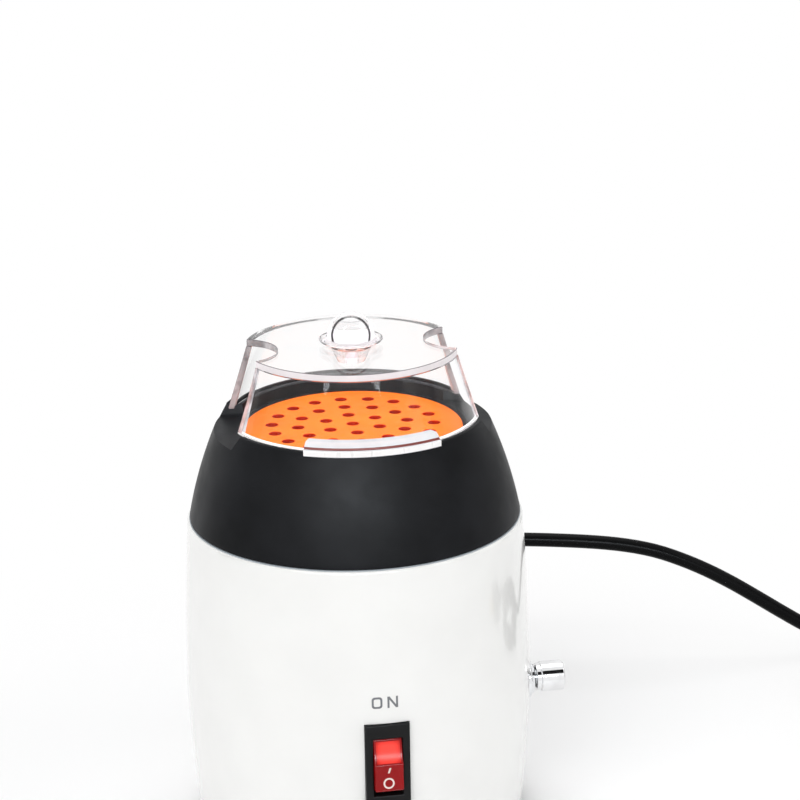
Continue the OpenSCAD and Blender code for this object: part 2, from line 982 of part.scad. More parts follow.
// A clear ball on a dished foot, with a spigot that passes through the disc's bore
module lid_knob() {
    ball_r = 8.7;
    ball_z = 3;
    spigot_low = -disc_t - lid_nut_h;
    color([0.9, 0.95, 1, 0.5])
    translate([0, 0, disc_top])
        rotate_extrude($fn = round_fn)
            polygon(concat(
                [
                    [0, spigot_low], [spigot_r, spigot_low], [spigot_r, 0], [6.7, 0], [7.6, 0.7],
                    [10.8, 1.2], [11.7, 2], [11.4, 2.3], [9.4, 1.9]
                ],
                [for (a = [0 : 6 : 90]) [ball_r * cos(a), ball_z + ball_r * sin(a)]]
            ));
}

// The clear cone shaped nut that holds the ball from below
module lid_nut() {
    color([0.9, 0.95, 1, 0.5])
    translate([0, 0, disc_z])
        rotate_extrude($fn = round_fn)
            polygon([
                [spigot_r + run_gap, 0],
                [spigot_r + run_gap, -lid_nut_h],
                [4.8, -lid_nut_h],
                [5.2, -lid_nut_h + 0.4],
                [7.2, -0.6],
                [7.2, 0]
            ]);
}

// ---------------------------------------------------------------- what is drawn

barrel();
seam_ring();
collar();
collar_screws();
hot_plate();
heat_duct();
duct_screws();
insulation_sleeve();
mica_cross();
heater_winding();
thermal_cutout();
thermal_fuse();
fan_housing();
housing_screws();
fan_motor();
motor_screws();
motor_shaft();
fan_impeller();
base_plate();
base_screws();
foot_ring();
terminal_block();
wiring();
switch_housing();
switch_terminals();
switch_rocker();
control_body();
control_nut();
control_shaft();
side_knob();
cord_gland();
gland_clip();
power_cord();
cord_coil();
cord_tie();
plug_body();
plug_blades();
lid_front_panel();
lid_rear_panel();
lid_disc();
lid_front_lip();
lid_knob();
lid_nut();
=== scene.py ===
"""Looks of a hot air warmer for spectacle frames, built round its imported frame.

Lengths are in millimetres, in the frame's own axes: +Z up, -Y towards the switch and +X towards the heat
control. The studio's lengths are in metres, as Blender's own are, but for those whose names end in _mm.
"""

from __future__ import annotations

import json
import logging
import math
from dataclasses import dataclass, field
from enum import Enum
from typing import Callable, Sequence

import bmesh
import bpy
from mathutils import Matrix, Quaternion, Vector

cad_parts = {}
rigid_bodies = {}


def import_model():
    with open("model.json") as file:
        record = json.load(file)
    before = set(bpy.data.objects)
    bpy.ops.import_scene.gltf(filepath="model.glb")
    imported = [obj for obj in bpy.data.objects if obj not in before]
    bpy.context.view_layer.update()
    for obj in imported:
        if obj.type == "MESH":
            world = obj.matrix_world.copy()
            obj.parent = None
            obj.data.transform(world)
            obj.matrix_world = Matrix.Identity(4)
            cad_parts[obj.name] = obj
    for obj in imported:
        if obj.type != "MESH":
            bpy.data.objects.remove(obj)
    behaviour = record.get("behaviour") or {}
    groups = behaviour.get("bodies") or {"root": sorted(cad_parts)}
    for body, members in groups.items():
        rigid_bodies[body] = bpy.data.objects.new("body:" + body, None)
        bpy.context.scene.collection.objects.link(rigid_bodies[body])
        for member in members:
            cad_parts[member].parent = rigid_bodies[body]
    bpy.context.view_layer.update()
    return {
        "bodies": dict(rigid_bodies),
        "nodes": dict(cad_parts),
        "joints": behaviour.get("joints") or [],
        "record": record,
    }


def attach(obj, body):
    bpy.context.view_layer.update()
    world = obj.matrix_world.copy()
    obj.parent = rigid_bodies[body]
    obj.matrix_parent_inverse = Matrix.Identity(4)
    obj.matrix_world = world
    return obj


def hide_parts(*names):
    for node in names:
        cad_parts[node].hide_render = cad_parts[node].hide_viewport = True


log = logging.getLogger("warmer")

MM = 0.001
Pair = tuple[float, float]
Point = tuple[float, float, float]
Colour = tuple[float, float, float]
Profile = Sequence[Pair]


class Axis(Enum):
    """A row axis that a turned piece is turned about."""

    X = "X"
    Y = "Y"
    Z = "Z"

    @property
    def vector(self) -> Vector:
        """The axis as a unit vector."""
        return Vector([float(self.value == name) for name in "XYZ"])


def srgb(red: int, green: int, blue: int) -> Colour:
    """Turns a screen colour into the linear one that a shader takes.

    Args:
        red: Red from 0 to 255.
        green: Green from 0 to 255.
        blue: Blue from 0 to 255.

    Returns:
        The linear colour.
    """
    parts = [c / 255 for c in (red, green, blue)]
    return tuple(c / 12.92 if c <= 0.04045 else ((c + 0.055) / 1.055) ** 2.4 for c in parts)


# ------------------------------------------------------------------ finishes


class Shading:
    """A material under construction: one Principled shader and the nodes that feed it."""

    def __init__(self, name: str, **constants: float | Colour) -> None:
        """Makes the material and sets the shader's own sockets.

        Args:
            name: The material's name.
            **constants: Socket values, named as Blender's sockets with _ for each space.
        """
        self.material = bpy.data.materials.new(name)
        self.material.use_nodes = True
        self.nodes = self.material.node_tree.nodes
        self.links = self.material.node_tree.links
        self.shader = self.nodes["Principled BSDF"]
        self.output = self.nodes["Material Output"]
        for key, value in constants.items():
            socket = self.shader.inputs[key.replace("_", " ")]
            socket.default_value = (*value, 1.0) if isinstance(value, tuple) else value
        self.place = self.nodes.new("ShaderNodeTexCoord").outputs["Object"]

    def node(self, kind: str, values: dict | None = None, **settings: object) -> bpy.types.Node:
        """Adds a node.

        Args:
            kind: The node's type without its ShaderNode prefix.
            values: Input values by socket name or number.
            **settings: Properties of the node.

        Returns:
            The node.
        """
        made = self.nodes.new("ShaderNode" + kind)
        for key, value in settings.items():
            setattr(made, key, value)
        for key, value in (values or {}).items():
            made.inputs[key].default_value = value
        return made

    def noise(self, scale: float, detail: float = 2.0, stretch: Point = (1, 1, 1)) -> bpy.types.NodeSocket:
        """Gives a noise over the piece.

        Args:
            scale: Cells to a metre.
            detail: Octaves.
            stretch: Factors on the coordinates, under 1 to draw the noise out.

        Returns:
            The noise's value socket.
        """
        mapping = self.node("Mapping", {"Scale": stretch})
        self.links.new(self.place, mapping.inputs["Vector"])
        noise = self.node("TexNoise", {"Scale": scale, "Detail": detail})
        self.links.new(mapping.outputs["Vector"], noise.inputs["Vector"])
        return noise.outputs["Fac"]

    def spread(self, source: bpy.types.NodeSocket, low: float, high: float,
               start: float = 0.3, end: float = 0.7) -> bpy.types.NodeSocket:
        """Maps a socket's stretch start..end to low..high.

        Args:
            source: The socket to read.
            low: Result at start.
            high: Result at end.
            start: Value of the source that gives low.
            end: Value of the source that gives high.

        Returns:
            The mapped value socket.
        """
        ranged = self.node("MapRange", {"From Min": start, "From Max": end, "To Min": low, "To Max": high})
        self.links.new(source, ranged.inputs["Value"])
        return ranged.outputs["Result"]

    def tint(self, source: bpy.types.NodeSocket, dark: Colour, light: Colour) -> None:
        """Drives the base colour between two colours.

        Args:
            source: A socket from 0, dark, to 1, light.
            dark: The colour at 0.
            light: The colour at 1.
        """
        mixed = self.node("Mix", data_type="RGBA")
        colour_in = [socket for socket in mixed.inputs if socket.type == "RGBA"]
        colour_in[0].default_value = (*dark, 1)
        colour_in[1].default_value = (*light, 1)
        self.links.new(source, mixed.inputs["Factor"])
        colour_out = next(socket for socket in mixed.outputs if socket.type == "RGBA")
        self.links.new(colour_out, self.shader.inputs["Base Color"])

    def roughness(self, source: bpy.types.NodeSocket) -> None:
        """Drives the roughness with a socket."""
        self.links.new(source, self.shader.inputs["Roughness"])

    def bump(self, source: bpy.types.NodeSocket, height_mm: float, strength: float = 1.0) -> None:
        """Adds a bump on top of those there are.

        Args:
            source: The height socket, 0 to 1.
            height_mm: Height of 1 in millimetres.
            strength: Blender's bump strength.
        """
        bump = self.node("Bump", {"Distance": height_mm * MM, "Strength": strength})
        self.links.new(source, bump.inputs["Height"])
        normal = self.shader.inputs["Normal"]
        if normal.links:
            self.links.new(normal.links[0].from_socket, bump.inputs["Normal"])
        self.links.new(bump.outputs["Normal"], normal)

    def near(self, centre_mm: Point, reach_mm: Point) -> bpy.types.NodeSocket:
        """Gives a soft spot with blunt corners: 1 in its middle, 0 from its reach outwards.

        Args:
            centre_mm: The spot's middle.
            reach_mm: Its half size along each axis.

        Returns:
            The spot's value socket.
        """
        away = self.node("VectorMath", {1: [c * MM for c in centre_mm]}, operation="SUBTRACT")
        self.links.new(self.place, away.inputs[0])
        parts = self.node("VectorMath", {1: [reach * MM for reach in reach_mm]}, operation="DIVIDE")
        self.links.new(away.outputs["Vector"], parts.inputs[0])
        squares = self.node("VectorMath", operation="MULTIPLY")
        length = self.node("VectorMath", operation="LENGTH")
        for socket in (0, 1):
            self.links.new(parts.outputs["Vector"], squares.inputs[socket])
        self.links.new(squares.outputs["Vector"], length.inputs[0])
        return self.spread(length.outputs["Value"], 1, 0, 0.25, 1.0)

    def combine(self, operation: str, one: bpy.types.NodeSocket,
                other: bpy.types.NodeSocket) -> bpy.types.NodeSocket:
        """Works out one value, held between 0 and 1, from two.

        Args:
            operation: Blender's name of the operation.
            one: The first value socket.
            other: The second value socket.

        Returns:
            The result's socket.
        """
        worked = self.node("Math", operation=operation, use_clamp=True)
        self.links.new(one, worked.inputs[0])
        self.links.new(other, worked.inputs[1])
        return worked.outputs[0]

    def blend(self, share: bpy.types.NodeSocket, other: bpy.types.Node) -> None:
        """Shows another shader in place of this material's own.

        Args:
            share: A socket from 0, its own, to 1, the other.
            other: The other shader.
        """
        mix = self.node("MixShader")
        self.links.new(share, mix.inputs["Fac"])
        self.links.new(self.shader.outputs["BSDF"], mix.inputs[1])
        self.links.new(other.outputs[0], mix.inputs[2])
        self.links.new(mix.outputs["Shader"], self.output.inputs["Surface"])
    def pass_lamps(self, share: float) -> None:
        """Lets lamps shine through the piece: what is behind it isn't left in the dark.

        Args:
            share: Part of the lamps' light that gets through, from 0 to 1.
        """
        clear = self.node("BsdfTransparent", {"Color": (share, share, share, 1)})
        self.blend(self.node("LightPath").outputs["Is Shadow Ray"], clear)
@dataclass(frozen=True)
class Moulded:
    """Moulded plastic: an even colour with a faint flow pattern, and a grain or an orange peel."""

    name: str
    colour: Colour
    shade: Colour
    roughness: float
    grain_mm: float
    grain_cells: float
    coat: float = 0.0
    sheen: float = 0.5

    def make(self) -> bpy.types.Material:
        """Returns the material."""
        s = Shading(self.name, Base_Color=self.colour, Specular_IOR_Level=self.sheen,
                    Coat_Weight=self.coat, Coat_Roughness=0.05)
        s.tint(s.spread(s.noise(38, 4), 0, 1), self.shade, self.colour)
        s.roughness(s.spread(s.noise(90, 5), self.roughness * 0.88, self.roughness * 1.14))
        s.bump(s.noise(self.grain_cells, 3), self.grain_mm, 0.6)
        return s.material


@dataclass(frozen=True)
class Metal:
    """Turned, rolled or plated metal, with fine lines along or round one axis."""

    name: str
    colour: Colour
    roughness: float
    lines: Point = (1, 1, 1)
    line_cells: float = 900
    line_mm: float = 0.01

    def make(self) -> bpy.types.Material:
        """Returns the material."""
        dark = tuple(c * 0.86 for c in self.colour)
        s = Shading(self.name, Base_Color=self.colour, Metallic=1.0)
        lines = s.noise(self.line_cells, 2, self.lines)
        s.tint(s.spread(s.noise(160, 4), 0, 1), dark, self.colour)
        s.roughness(s.spread(lines, self.roughness * 0.7, self.roughness * 1.4))
        s.bump(lines, self.line_mm, 0.4)
        return s.material


@dataclass(frozen=True)
class Clear:
    """Polished clear acrylic with a faint haze. A low index keeps a thin sheet from mirroring the studio."""

    name: str
    colour: Colour
    haze: float
    index: float

    def make(self) -> bpy.types.Material:
        """Returns the material."""
        s = Shading(self.name, Base_Color=self.colour, Transmission_Weight=1.0, IOR=self.index,
                    Roughness=self.haze)
        s.roughness(s.spread(s.noise(120, 3), self.haze * 0.5, self.haze * 1.5))
        s.pass_lamps(0.93)
        return s.material


@dataclass(frozen=True)
class ClearBallPaintedArcs:
    """Clear acrylic in the round with a painted reflection: a dark arc at each side and a darker outline,
    painted into its colour by how squarely each point faces the ray.
    """

    name: str
    colour: Colour
    # Colour of the painted reflection's arcs and outline.
    dark: Colour
    middle: Point
    reach: Point
    painted_arc_ring: Pair = (0.29, 0.47)
    painted_arc_blur: float = 0.05
    outline: Pair = (0.7, 0.95)
    painted_outline_dark: float = 0.8

    def make(self) -> bpy.types.Material:
        """Returns the material."""
        s = Shading(self.name, Transmission_Weight=1.0, IOR=1.49, Roughness=0.01)
        facing = s.node("LayerWeight", {"Blend": 0.5}).outputs["Facing"]
        start, end = self.painted_arc_ring
        inner = s.spread(facing, 0, 1, start, start + self.painted_arc_blur)
        outer = s.spread(facing, 1, 0, end - self.painted_arc_blur, end)
        # Painted reflection: dark arcs at the sides and a darker outline, laid into the base colour.
        painted_arcs = s.combine("MULTIPLY", s.combine("MULTIPLY", inner, outer), s.near(self.middle, self.reach))
        outline = s.spread(facing, 0, self.painted_outline_dark, *self.outline)
        s.tint(s.combine("ADD", painted_arcs, outline), self.colour, self.dark)
        s.pass_lamps(0.9)
        return s.material


@dataclass(frozen=True)
class Frosted:
    """A sawn or milky face of clear acrylic, or one with a painted highlight, reflection or shade: partly
    clear, partly milky, with soft streaks.
    """

    name: str
    colour: Colour
    roughness: float
    clear: float
    streak: float = 0.05

    def make(self) -> bpy.types.Material:
        """Returns the material."""
        s = Shading(self.name, Base_Color=self.colour, Transmission_Weight=self.clear, IOR=1.49)
        lines = s.noise(600, 3, (1, 1, 0.2))
        dark = tuple(c * (1 - self.streak) for c in self.colour)
        s.tint(s.spread(s.noise(130, 3), 0, 1, 0.35, 0.6), dark, self.colour)
        s.roughness(s.spread(lines, self.roughness * 0.8, self.roughness * 1.25))
        s.bump(lines, 0.01, 0.4)
        s.pass_lamps(0.9)
        return s.material


@dataclass(frozen=True)
class PaintedGlow:
    """Coloured plastic or enamel with a painted glow all over, or with a painted highlight brightening one
    spot.
    """

    name: str
    colour: Colour
    shade: Colour
    roughness: float
    glow: Colour
    strength: float
    sheen: float
    # Middle and half size of a painted highlight; with no reach the painted glow is even.
    spot: Point = (0, 0, 0)
    painted_highlight_reach: Point | None = None

    def make(self) -> bpy.types.Material:
        """Returns the material."""
        # The emission is a painted glow: none of these parts is a lamp.
        s = Shading(self.name, Base_Color=self.colour, Emission_Color=self.glow,
                    Emission_Strength=self.strength, Specular_IOR_Level=self.sheen)
        # Painted highlight: colour and glow are brightest at the spot and fall off to the shade colour round
        # it.
        if self.painted_highlight_reach:
            near = s.near(self.spot, self.painted_highlight_reach)
            s.tint(near, self.shade, self.colour)
            s.links.new(s.spread(near, 0.04, self.strength, 0, 1), s.shader.inputs["Emission Strength"])
        else:
            s.tint(s.spread(s.noise(70, 4), 0, 1), self.shade, self.colour)
        s.roughness(s.spread(s.noise(260, 4), self.roughness * 0.85, self.roughness * 1.2))
        s.bump(s.noise(1500, 3), 0.012, 0.5)
        return s.material


@dataclass(frozen=True)
class Felt:
    """Pressed fibre, with a soft fuzzy relief."""

    name: str
    colour: Colour
    shade: Colour

    def make(self) -> bpy.types.Material:
        """Returns the material."""
        s = Shading(self.name, Base_Color=self.colour, Roughness=0.95, Sheen_Weight=0.3,
                    Specular_IOR_Level=0.2)
        fibres = s.noise(1400, 6, (1, 1, 0.4))
        s.tint(s.spread(fibres, 0, 1), self.shade, self.colour)
        s.bump(fibres, 0.25, 0.8)
        return s.material


class Paintbox:
    """All finishes of the warmer, each made once."""

    def __init__(self) -> None:
        """Makes the finishes."""
        round_z = (0.04, 0.04, 1.0)
        recipes = [
            Moulded("white_gloss", srgb(243, 243, 241), srgb(239, 239, 237), 0.13, 0.004, 700, 0.6),
            Moulded("seam_grey", srgb(172, 180, 186), srgb(160, 168, 175), 0.4, 0.006, 1500),
            Moulded("collar_black", srgb(30, 31, 34), srgb(18, 19, 21), 0.42, 0.03, 2300, 0.0, 0.08),
            Moulded("dark_plastic", srgb(50, 53, 57), srgb(42, 45, 48), 0.5, 0.03, 1800),
            Moulded("pale_plastic", srgb(226, 219, 202), srgb(214, 206, 187), 0.42, 0.012, 1300),
            Moulded("switch_black", srgb(22, 22, 23), srgb(16, 16, 17), 0.42, 0.025, 2600, 0.0, 0.15),
            Moulded("black_rubber", srgb(20, 20, 21), srgb(15, 15, 16), 0.62, 0.03, 1900, 0.0, 0.15),
            Moulded("cord_sheath", srgb(13, 13, 14), srgb(9, 9, 10), 0.28, 0.012, 900, 0.0, 0.06),
            Moulded("wire_sheath", srgb(160, 46, 38), srgb(140, 36, 30), 0.35, 0.01, 900),
            Moulded("mica_board", srgb(182, 152, 104), srgb(150, 120, 80), 0.5, 0.05, 700),
            Moulded("motor_steel", srgb(96, 105, 114), srgb(84, 92, 101), 0.4, 0.015, 1100),
            Moulded("legend_grey", srgb(118, 120, 124), srgb(106, 108, 112), 0.45, 0.004, 1500),
            Moulded("mark_white", srgb(240, 224, 218), srgb(232, 212, 205), 0.4, 0.004, 1500),
            Metal("zinc_steel", srgb(200, 203, 206), 0.26),
            Metal("tinplate", srgb(205, 206, 208), 0.22, round_z),
            Metal("heater_wire", srgb(122, 114, 108), 0.5),
            Metal("nickel_bright", srgb(240, 241, 243), 0.06),
            Metal("nickel_turned", srgb(240, 240, 241), 0.08, (1.0, 0.03, 0.03), 1400, 0.003),
            Metal("brass_blade", srgb(212, 178, 92), 0.22),
            Clear("clear_sheet", srgb(255, 255, 255), 0.012, 1.2),
            Clear("clear_solid", srgb(250, 249, 250), 0.008, 1.49),
            # Clear ball with a painted reflection of dark arcs.
            ClearBallPaintedArcs("clear_ball", srgb(250, 249, 250), srgb(4, 3, 4), (0, 0, 189), (900, 900, 11)),
            Frosted("sawn_edge", srgb(214, 210, 213), 0.2, 0.25, 0.7),
            # Painted highlight on the front of the disc's edge, pink as a painted reflection of the plate.
            Frosted("disc_edge", srgb(252, 244, 246), 0.2, 0.12),
            # Painted shade: thin grey lines on the clear pieces' broken edges.
            Frosted("edge_line", srgb(120, 114, 118), 0.25, 0.0),
            Frosted("cement", srgb(232, 226, 228), 0.3, 0.0),
            Frosted("lip_sheet", srgb(238, 240, 243), 0.2, 0.3),
            # Painted highlight: the white line on the front wall's rim and on the lip's hook.
            Frosted("bright_edge", srgb(255, 253, 252), 0.3, 0.1),
            # Painted reflection of the plate: a red-brown line in the lip's groove.
            Frosted("warm_line", srgb(128, 50, 42), 0.4, 0.1),
            # The plate's own orange, brightened by a painted glow.
            PaintedGlow("orange_enamel", srgb(250, 119, 28), srgb(246, 109, 24), 0.5, srgb(255, 110, 24), 0.12,
                    0.08),
            # Painted shade in the holes: their walls a deeper red than the plate, with a faint painted glow.
            PaintedGlow("hole_wall", srgb(180, 34, 8), srgb(160, 26, 5), 0.5, srgb(200, 30, 6), 0.06, 0.02),
            # The rocker's own red, with a faint painted glow.
            PaintedGlow("rocker_red", srgb(150, 10, 15), srgb(136, 8, 12), 0.2, srgb(200, 16, 20), 0.05, 0.2),
            # The rocker's upper face: a lit copy of the rocker's red, with a painted highlight and glow round
            # one spot.
            PaintedGlow("rocker_lit", srgb(236, 60, 52), srgb(170, 12, 16), 0.2, srgb(255, 90, 78), 0.38, 0.1,
                    (0, -66.1, 52.1), (5.0, 20, 4.7)),
            Felt("ceramic_felt", srgb(232, 226, 212), srgb(208, 200, 184)),
        ]
        self.finishes = {recipe.name: recipe.make() for recipe in recipes}

    def __getitem__(self, name: str) -> bpy.types.Material:
        """Returns the finish of that name."""
        return self.finishes[name]

    def dress(self, piece: bpy.types.Object, name: str) -> None:
        """Gives a piece one finish all over.

        Args:
            piece: The piece, or a CAD node's object.
            name: The finish's name.
        """
        if piece.material_slots:
            for held in piece.material_slots:
                held.material = self[name]
        else:
            piece.data.materials.append(self[name])


# ------------------------------------------------------------------ modelling


class Bench:
    """Modelling steps by Blender's own operators. Sizes are in millimetres."""

    @staticmethod
    def clear_selection() -> None:
        """Leaves edit mode and deselects every object."""
        if bpy.context.object and bpy.context.object.mode != "OBJECT":
            bpy.ops.object.mode_set(mode="OBJECT")
        bpy.ops.object.select_all(action="DESELECT")

    @staticmethod
    def hold(piece: bpy.types.Object) -> None:
        """Makes a piece the only selected and active one."""
        Bench.clear_selection()
        piece.select_set(True)
        bpy.context.view_layer.objects.active = piece

    @staticmethod
    def name_new(name: str) -> bpy.types.Object:
        """Names the primitive that was just added and puts its place in its mesh."""
        piece = bpy.context.object
        piece.name = name
        piece.data.name = name
        bpy.ops.object.transform_apply(location=True, rotation=True, scale=True)
        return piece

    @staticmethod
    def box(name: str, low: Point, high: Point) -> bpy.types.Object:
        """Adds a box.

        Args:
            name: The piece's name.
            low: Its lowest corner.
            high: Its highest corner.

        Returns:
            The box, to be shaped further.
        """
        Bench.clear_selection()
        middle = [(a + b) / 2 * MM for a, b in zip(low, high)]
        bpy.ops.mesh.primitive_cube_add(size=1, location=middle)
        bpy.context.object.scale = [(b - a) * MM for a, b in zip(low, high)]
        return Bench.name_new(name)

    @staticmethod
    def rod(name: str, radius: float, start: Point, end: Point, sides: int = 48) -> bpy.types.Object:
        """Adds a round rod between two points.

        Args:
            name: The piece's name.
            radius: Its radius.
            start: Middle of one end.
            end: Middle of the other end.
            sides: Its number of sides.

        Returns:
            The rod.
        """
        Bench.clear_selection()
        a, b = Vector(start) * MM, Vector(end) * MM
        bpy.ops.mesh.primitive_cylinder_add(vertices=sides, radius=radius * MM, depth=(b - a).length,
                                            location=(a + b) / 2)
        rod = bpy.context.object
        rod.rotation_mode = "QUATERNION"
        rod.rotation_quaternion = Vector((0, 0, 1)).rotation_difference(b - a)
        return Bench.name_new(name)

    @staticmethod
    def window(name: str, half: Pair, z: float, front: float, back: float) -> bpy.types.Object:
        """Adds a box that faces the front, with its middle at X 0.

        Args:
            name: The piece's name.
            half: Its half width and half height.
            z: Height of its middle.
            front: Y of its front face.
            back: Y of its back face.

        Returns:
            The box.
        """
        return Bench.box(name, (-half[0], front, z - half[1]), (half[0], back, z + half[1]))
    @staticmethod
    def trace(points: Sequence[Point]) -> bpy.types.Object:
        """Draws a line by extruding a vertex from point to point, and leaves it selected in edit mode.

        Args:
            points: The line's points.

        Returns:
            The object that holds the line.
        """
        Bench.clear_selection()
        bpy.context.tool_settings.mesh_select_mode = (True, False, False)
        bpy.ops.mesh.primitive_plane_add(size=0.01)
        line = bpy.context.object
        bpy.ops.object.mode_set(mode="EDIT")
        bpy.ops.mesh.select_all(action="SELECT")
        bpy.ops.mesh.merge(type="CENTER")
        bpy.ops.transform.translate(value=tuple(c * MM for c in points[0]))
        for here, there in zip(points, points[1:]):
            step = tuple((b - a) * MM for a, b in zip(here, there))
            bpy.ops.mesh.extrude_vertices_move(TRANSFORM_OT_translate={"value": step})
        bpy.ops.mesh.select_all(action="SELECT")
        return line

    @staticmethod
    def face_outwards() -> None:
        """Turns all normals of the mesh in edit mode outwards and leaves edit mode."""
        bpy.ops.mesh.select_all(action="SELECT")
        bpy.ops.mesh.normals_make_consistent(inside=False)
        bpy.ops.object.mode_set(mode="OBJECT")

    @staticmethod
    def prism(name: str, outline: Profile, low: float, high: float) -> bpy.types.Object:
        """Fills an outline and extrudes it along X.

        Args:
            name: The piece's name.
            outline: Y and Z of each point of the outline.
            low: X of its first face.
            high: X of its last face.

        Returns:
            The solid.
        """
        Bench.trace([(low, y, z) for y, z in outline])
        bpy.ops.mesh.edge_face_add()
        bpy.ops.mesh.extrude_region_move(TRANSFORM_OT_translate={"value": ((high - low) * MM, 0, 0)})
        Bench.face_outwards()
        return Bench.name_new(name)

    @staticmethod
    def lathe(name: str, profile: Profile, steps: int, axis: Axis = Axis.Z, centre: Point = (0, 0, 0),
              start: float = 0.0, sweep: float = 360.0) -> bpy.types.Object:
        """Spins a profile about an axis.

        Args:
            name: The piece's name.
            profile: Radius and height of each point, closed where its first point is its last or lies,
                with its last, on the axis.
            steps: Number of steps of the spin.
            axis: The axis to spin about.
            centre: A point on the axis, the height's zero.
            start: Angle at which the spin starts, in degrees.
            sweep: Angle of the spin, in degrees.

        Returns:
            The turned piece.
        """
        piece = Bench.trace([(radius, 0, height) for radius, height in profile])
        bpy.ops.mesh.spin(steps=steps, angle=math.radians(sweep), center=(0, 0, 0), axis=(0, 0, 1))
        bpy.ops.mesh.select_all(action="SELECT")
        bpy.ops.mesh.remove_doubles(threshold=0.002 * MM)
        if sweep < 360:
            bpy.ops.mesh.select_all(action="DESELECT")
            bpy.ops.mesh.select_non_manifold(extend=False, use_wire=False, use_multi_face=False,
                                             use_non_contiguous=False, use_verts=False)
            bpy.ops.mesh.edge_face_add()
        Bench.face_outwards()
        upright = Vector((0, 0, 1))
        turn = math.radians(start) + Bench.spin_sense(piece, sweep)
        piece.rotation_mode = "QUATERNION"
        piece.rotation_quaternion = upright.rotation_difference(axis.vector) @ Quaternion(upright, turn)
        piece.location = Vector(centre) * MM
        return Bench.name_new(name)

    @staticmethod
    def spin_sense(piece: bpy.types.Object, sweep: float) -> float:
        """Gives the turn that brings a part sweep's first side to angle 0, whichever way the spin went.

        Args:
            piece: The spun piece, before it is placed.
            sweep: Angle of the spin, in degrees.

        Returns:
            The turn about Z in radians.
        """
        if sweep >= 360:
            return 0.0
        lean = sum(v.co.y for v in piece.data.vertices)
        return 0.0 if lean > 0 else math.radians(sweep)

    @staticmethod
    def pick(piece: bpy.types.Object, faces: bool, wanted: Callable[[Vector, Vector], bool]) -> None:
        """Enters edit mode with the edges or the faces selected that a test picks.

        Args:
            piece: The piece.
            faces: Whether it picks faces, or else edges.
            wanted: The test on a face's normal or an edge's direction, and on its middle in millimetres.
        """
        Bench.hold(piece)
        bpy.context.tool_settings.mesh_select_mode = (False, not faces, faces)
        bpy.ops.object.mode_set(mode="EDIT")
        mesh = bmesh.from_edit_mesh(piece.data)
        for part in mesh.faces if faces else mesh.edges:
            corners = [vertex.co / MM for vertex in part.verts]
            way = part.normal if faces else (corners[1] - corners[0]).normalized()
            part.select_set(wanted(way, sum(corners, Vector()) / len(corners)))
        mesh.select_flush_mode()
        bmesh.update_edit_mesh(piece.data)

    @staticmethod
    def round_along(piece: bpy.types.Object, axis: Axis, radius: float, segments: int = 6) -> None:
        """Rounds a box's four edges that run along an axis.

        Args:
            piece: The box.
            axis: The axis.
            radius: Radius of the rounding.
            segments: Segments of the rounding.
        """
        Bench.pick(piece, False, lambda way, middle: abs(way.dot(axis.vector)) > 0.9)
        bpy.ops.mesh.bevel(offset=radius * MM, segments=segments, affect="EDGES")
        bpy.ops.object.mode_set(mode="OBJECT")

    @staticmethod
    def apply(piece: bpy.types.Object, kind: str, **settings: object) -> None:
        """Adds a modifier and applies it.

        Args:
            piece: The piece to change.
            kind: The modifier's type.
            **settings: Its properties.
        """
        Bench.hold(piece)
        modifier = piece.modifiers.new(kind.title(), kind)
        for key, value in settings.items():
            setattr(modifier, key, value)
        bpy.ops.object.modifier_apply(modifier=modifier.name)

    @staticmethod
    def cut(piece: bpy.types.Object, *cutters: bpy.types.Object) -> None:
        """Takes cutters away from a piece and removes them."""
        for cutter in cutters:
            Bench.apply(piece, "BOOLEAN", operation="DIFFERENCE", object=cutter, solver="EXACT")
            bpy.data.objects.remove(cutter, do_unlink=True)

    @staticmethod
    def fuse(piece: bpy.types.Object, *others: bpy.types.Object) -> None:
        """Joins solids that overlap into one closed piece."""
        for other in others:
            Bench.apply(piece, "BOOLEAN", operation="UNION", object=other, solver="EXACT")
            bpy.data.objects.remove(other, do_unlink=True)

    @staticmethod
    def gather(name: str, pieces: Sequence[bpy.types.Object]) -> bpy.types.Object:
        """Joins separate shapes into one object.

        Args:
            name: The name of the joined piece.
            pieces: The shapes.

        Returns:
            The joined piece.
        """
        Bench.clear_selection()
        for piece in pieces:
            piece.select_set(True)
        bpy.context.view_layer.objects.active = pieces[0]
        bpy.ops.object.join()
        pieces[0].name = name
        return pieces[0]

    @staticmethod
    def bevel(piece: bpy.types.Object, width: float, segments: int = 2, angle: float = 35) -> None:
        """Rounds a piece's edges sharper than an angle.

        Args:
            piece: The piece.
            width: Width of the bevel.
            segments: Its segments.
            angle: Least angle of a bevelled edge, in degrees.
        """
        Bench.apply(piece, "BEVEL", width=width * MM, segments=segments, limit_method="ANGLE",
                    angle_limit=math.radians(angle), harden_normals=False)

    @staticmethod
    def smooth(piece: bpy.types.Object, angle: float = 32) -> None:
        """Shades a piece smooth but for its edges sharper than an angle."""
        Bench.hold(piece)
        bpy.ops.object.shade_smooth_by_angle(angle=math.radians(angle))

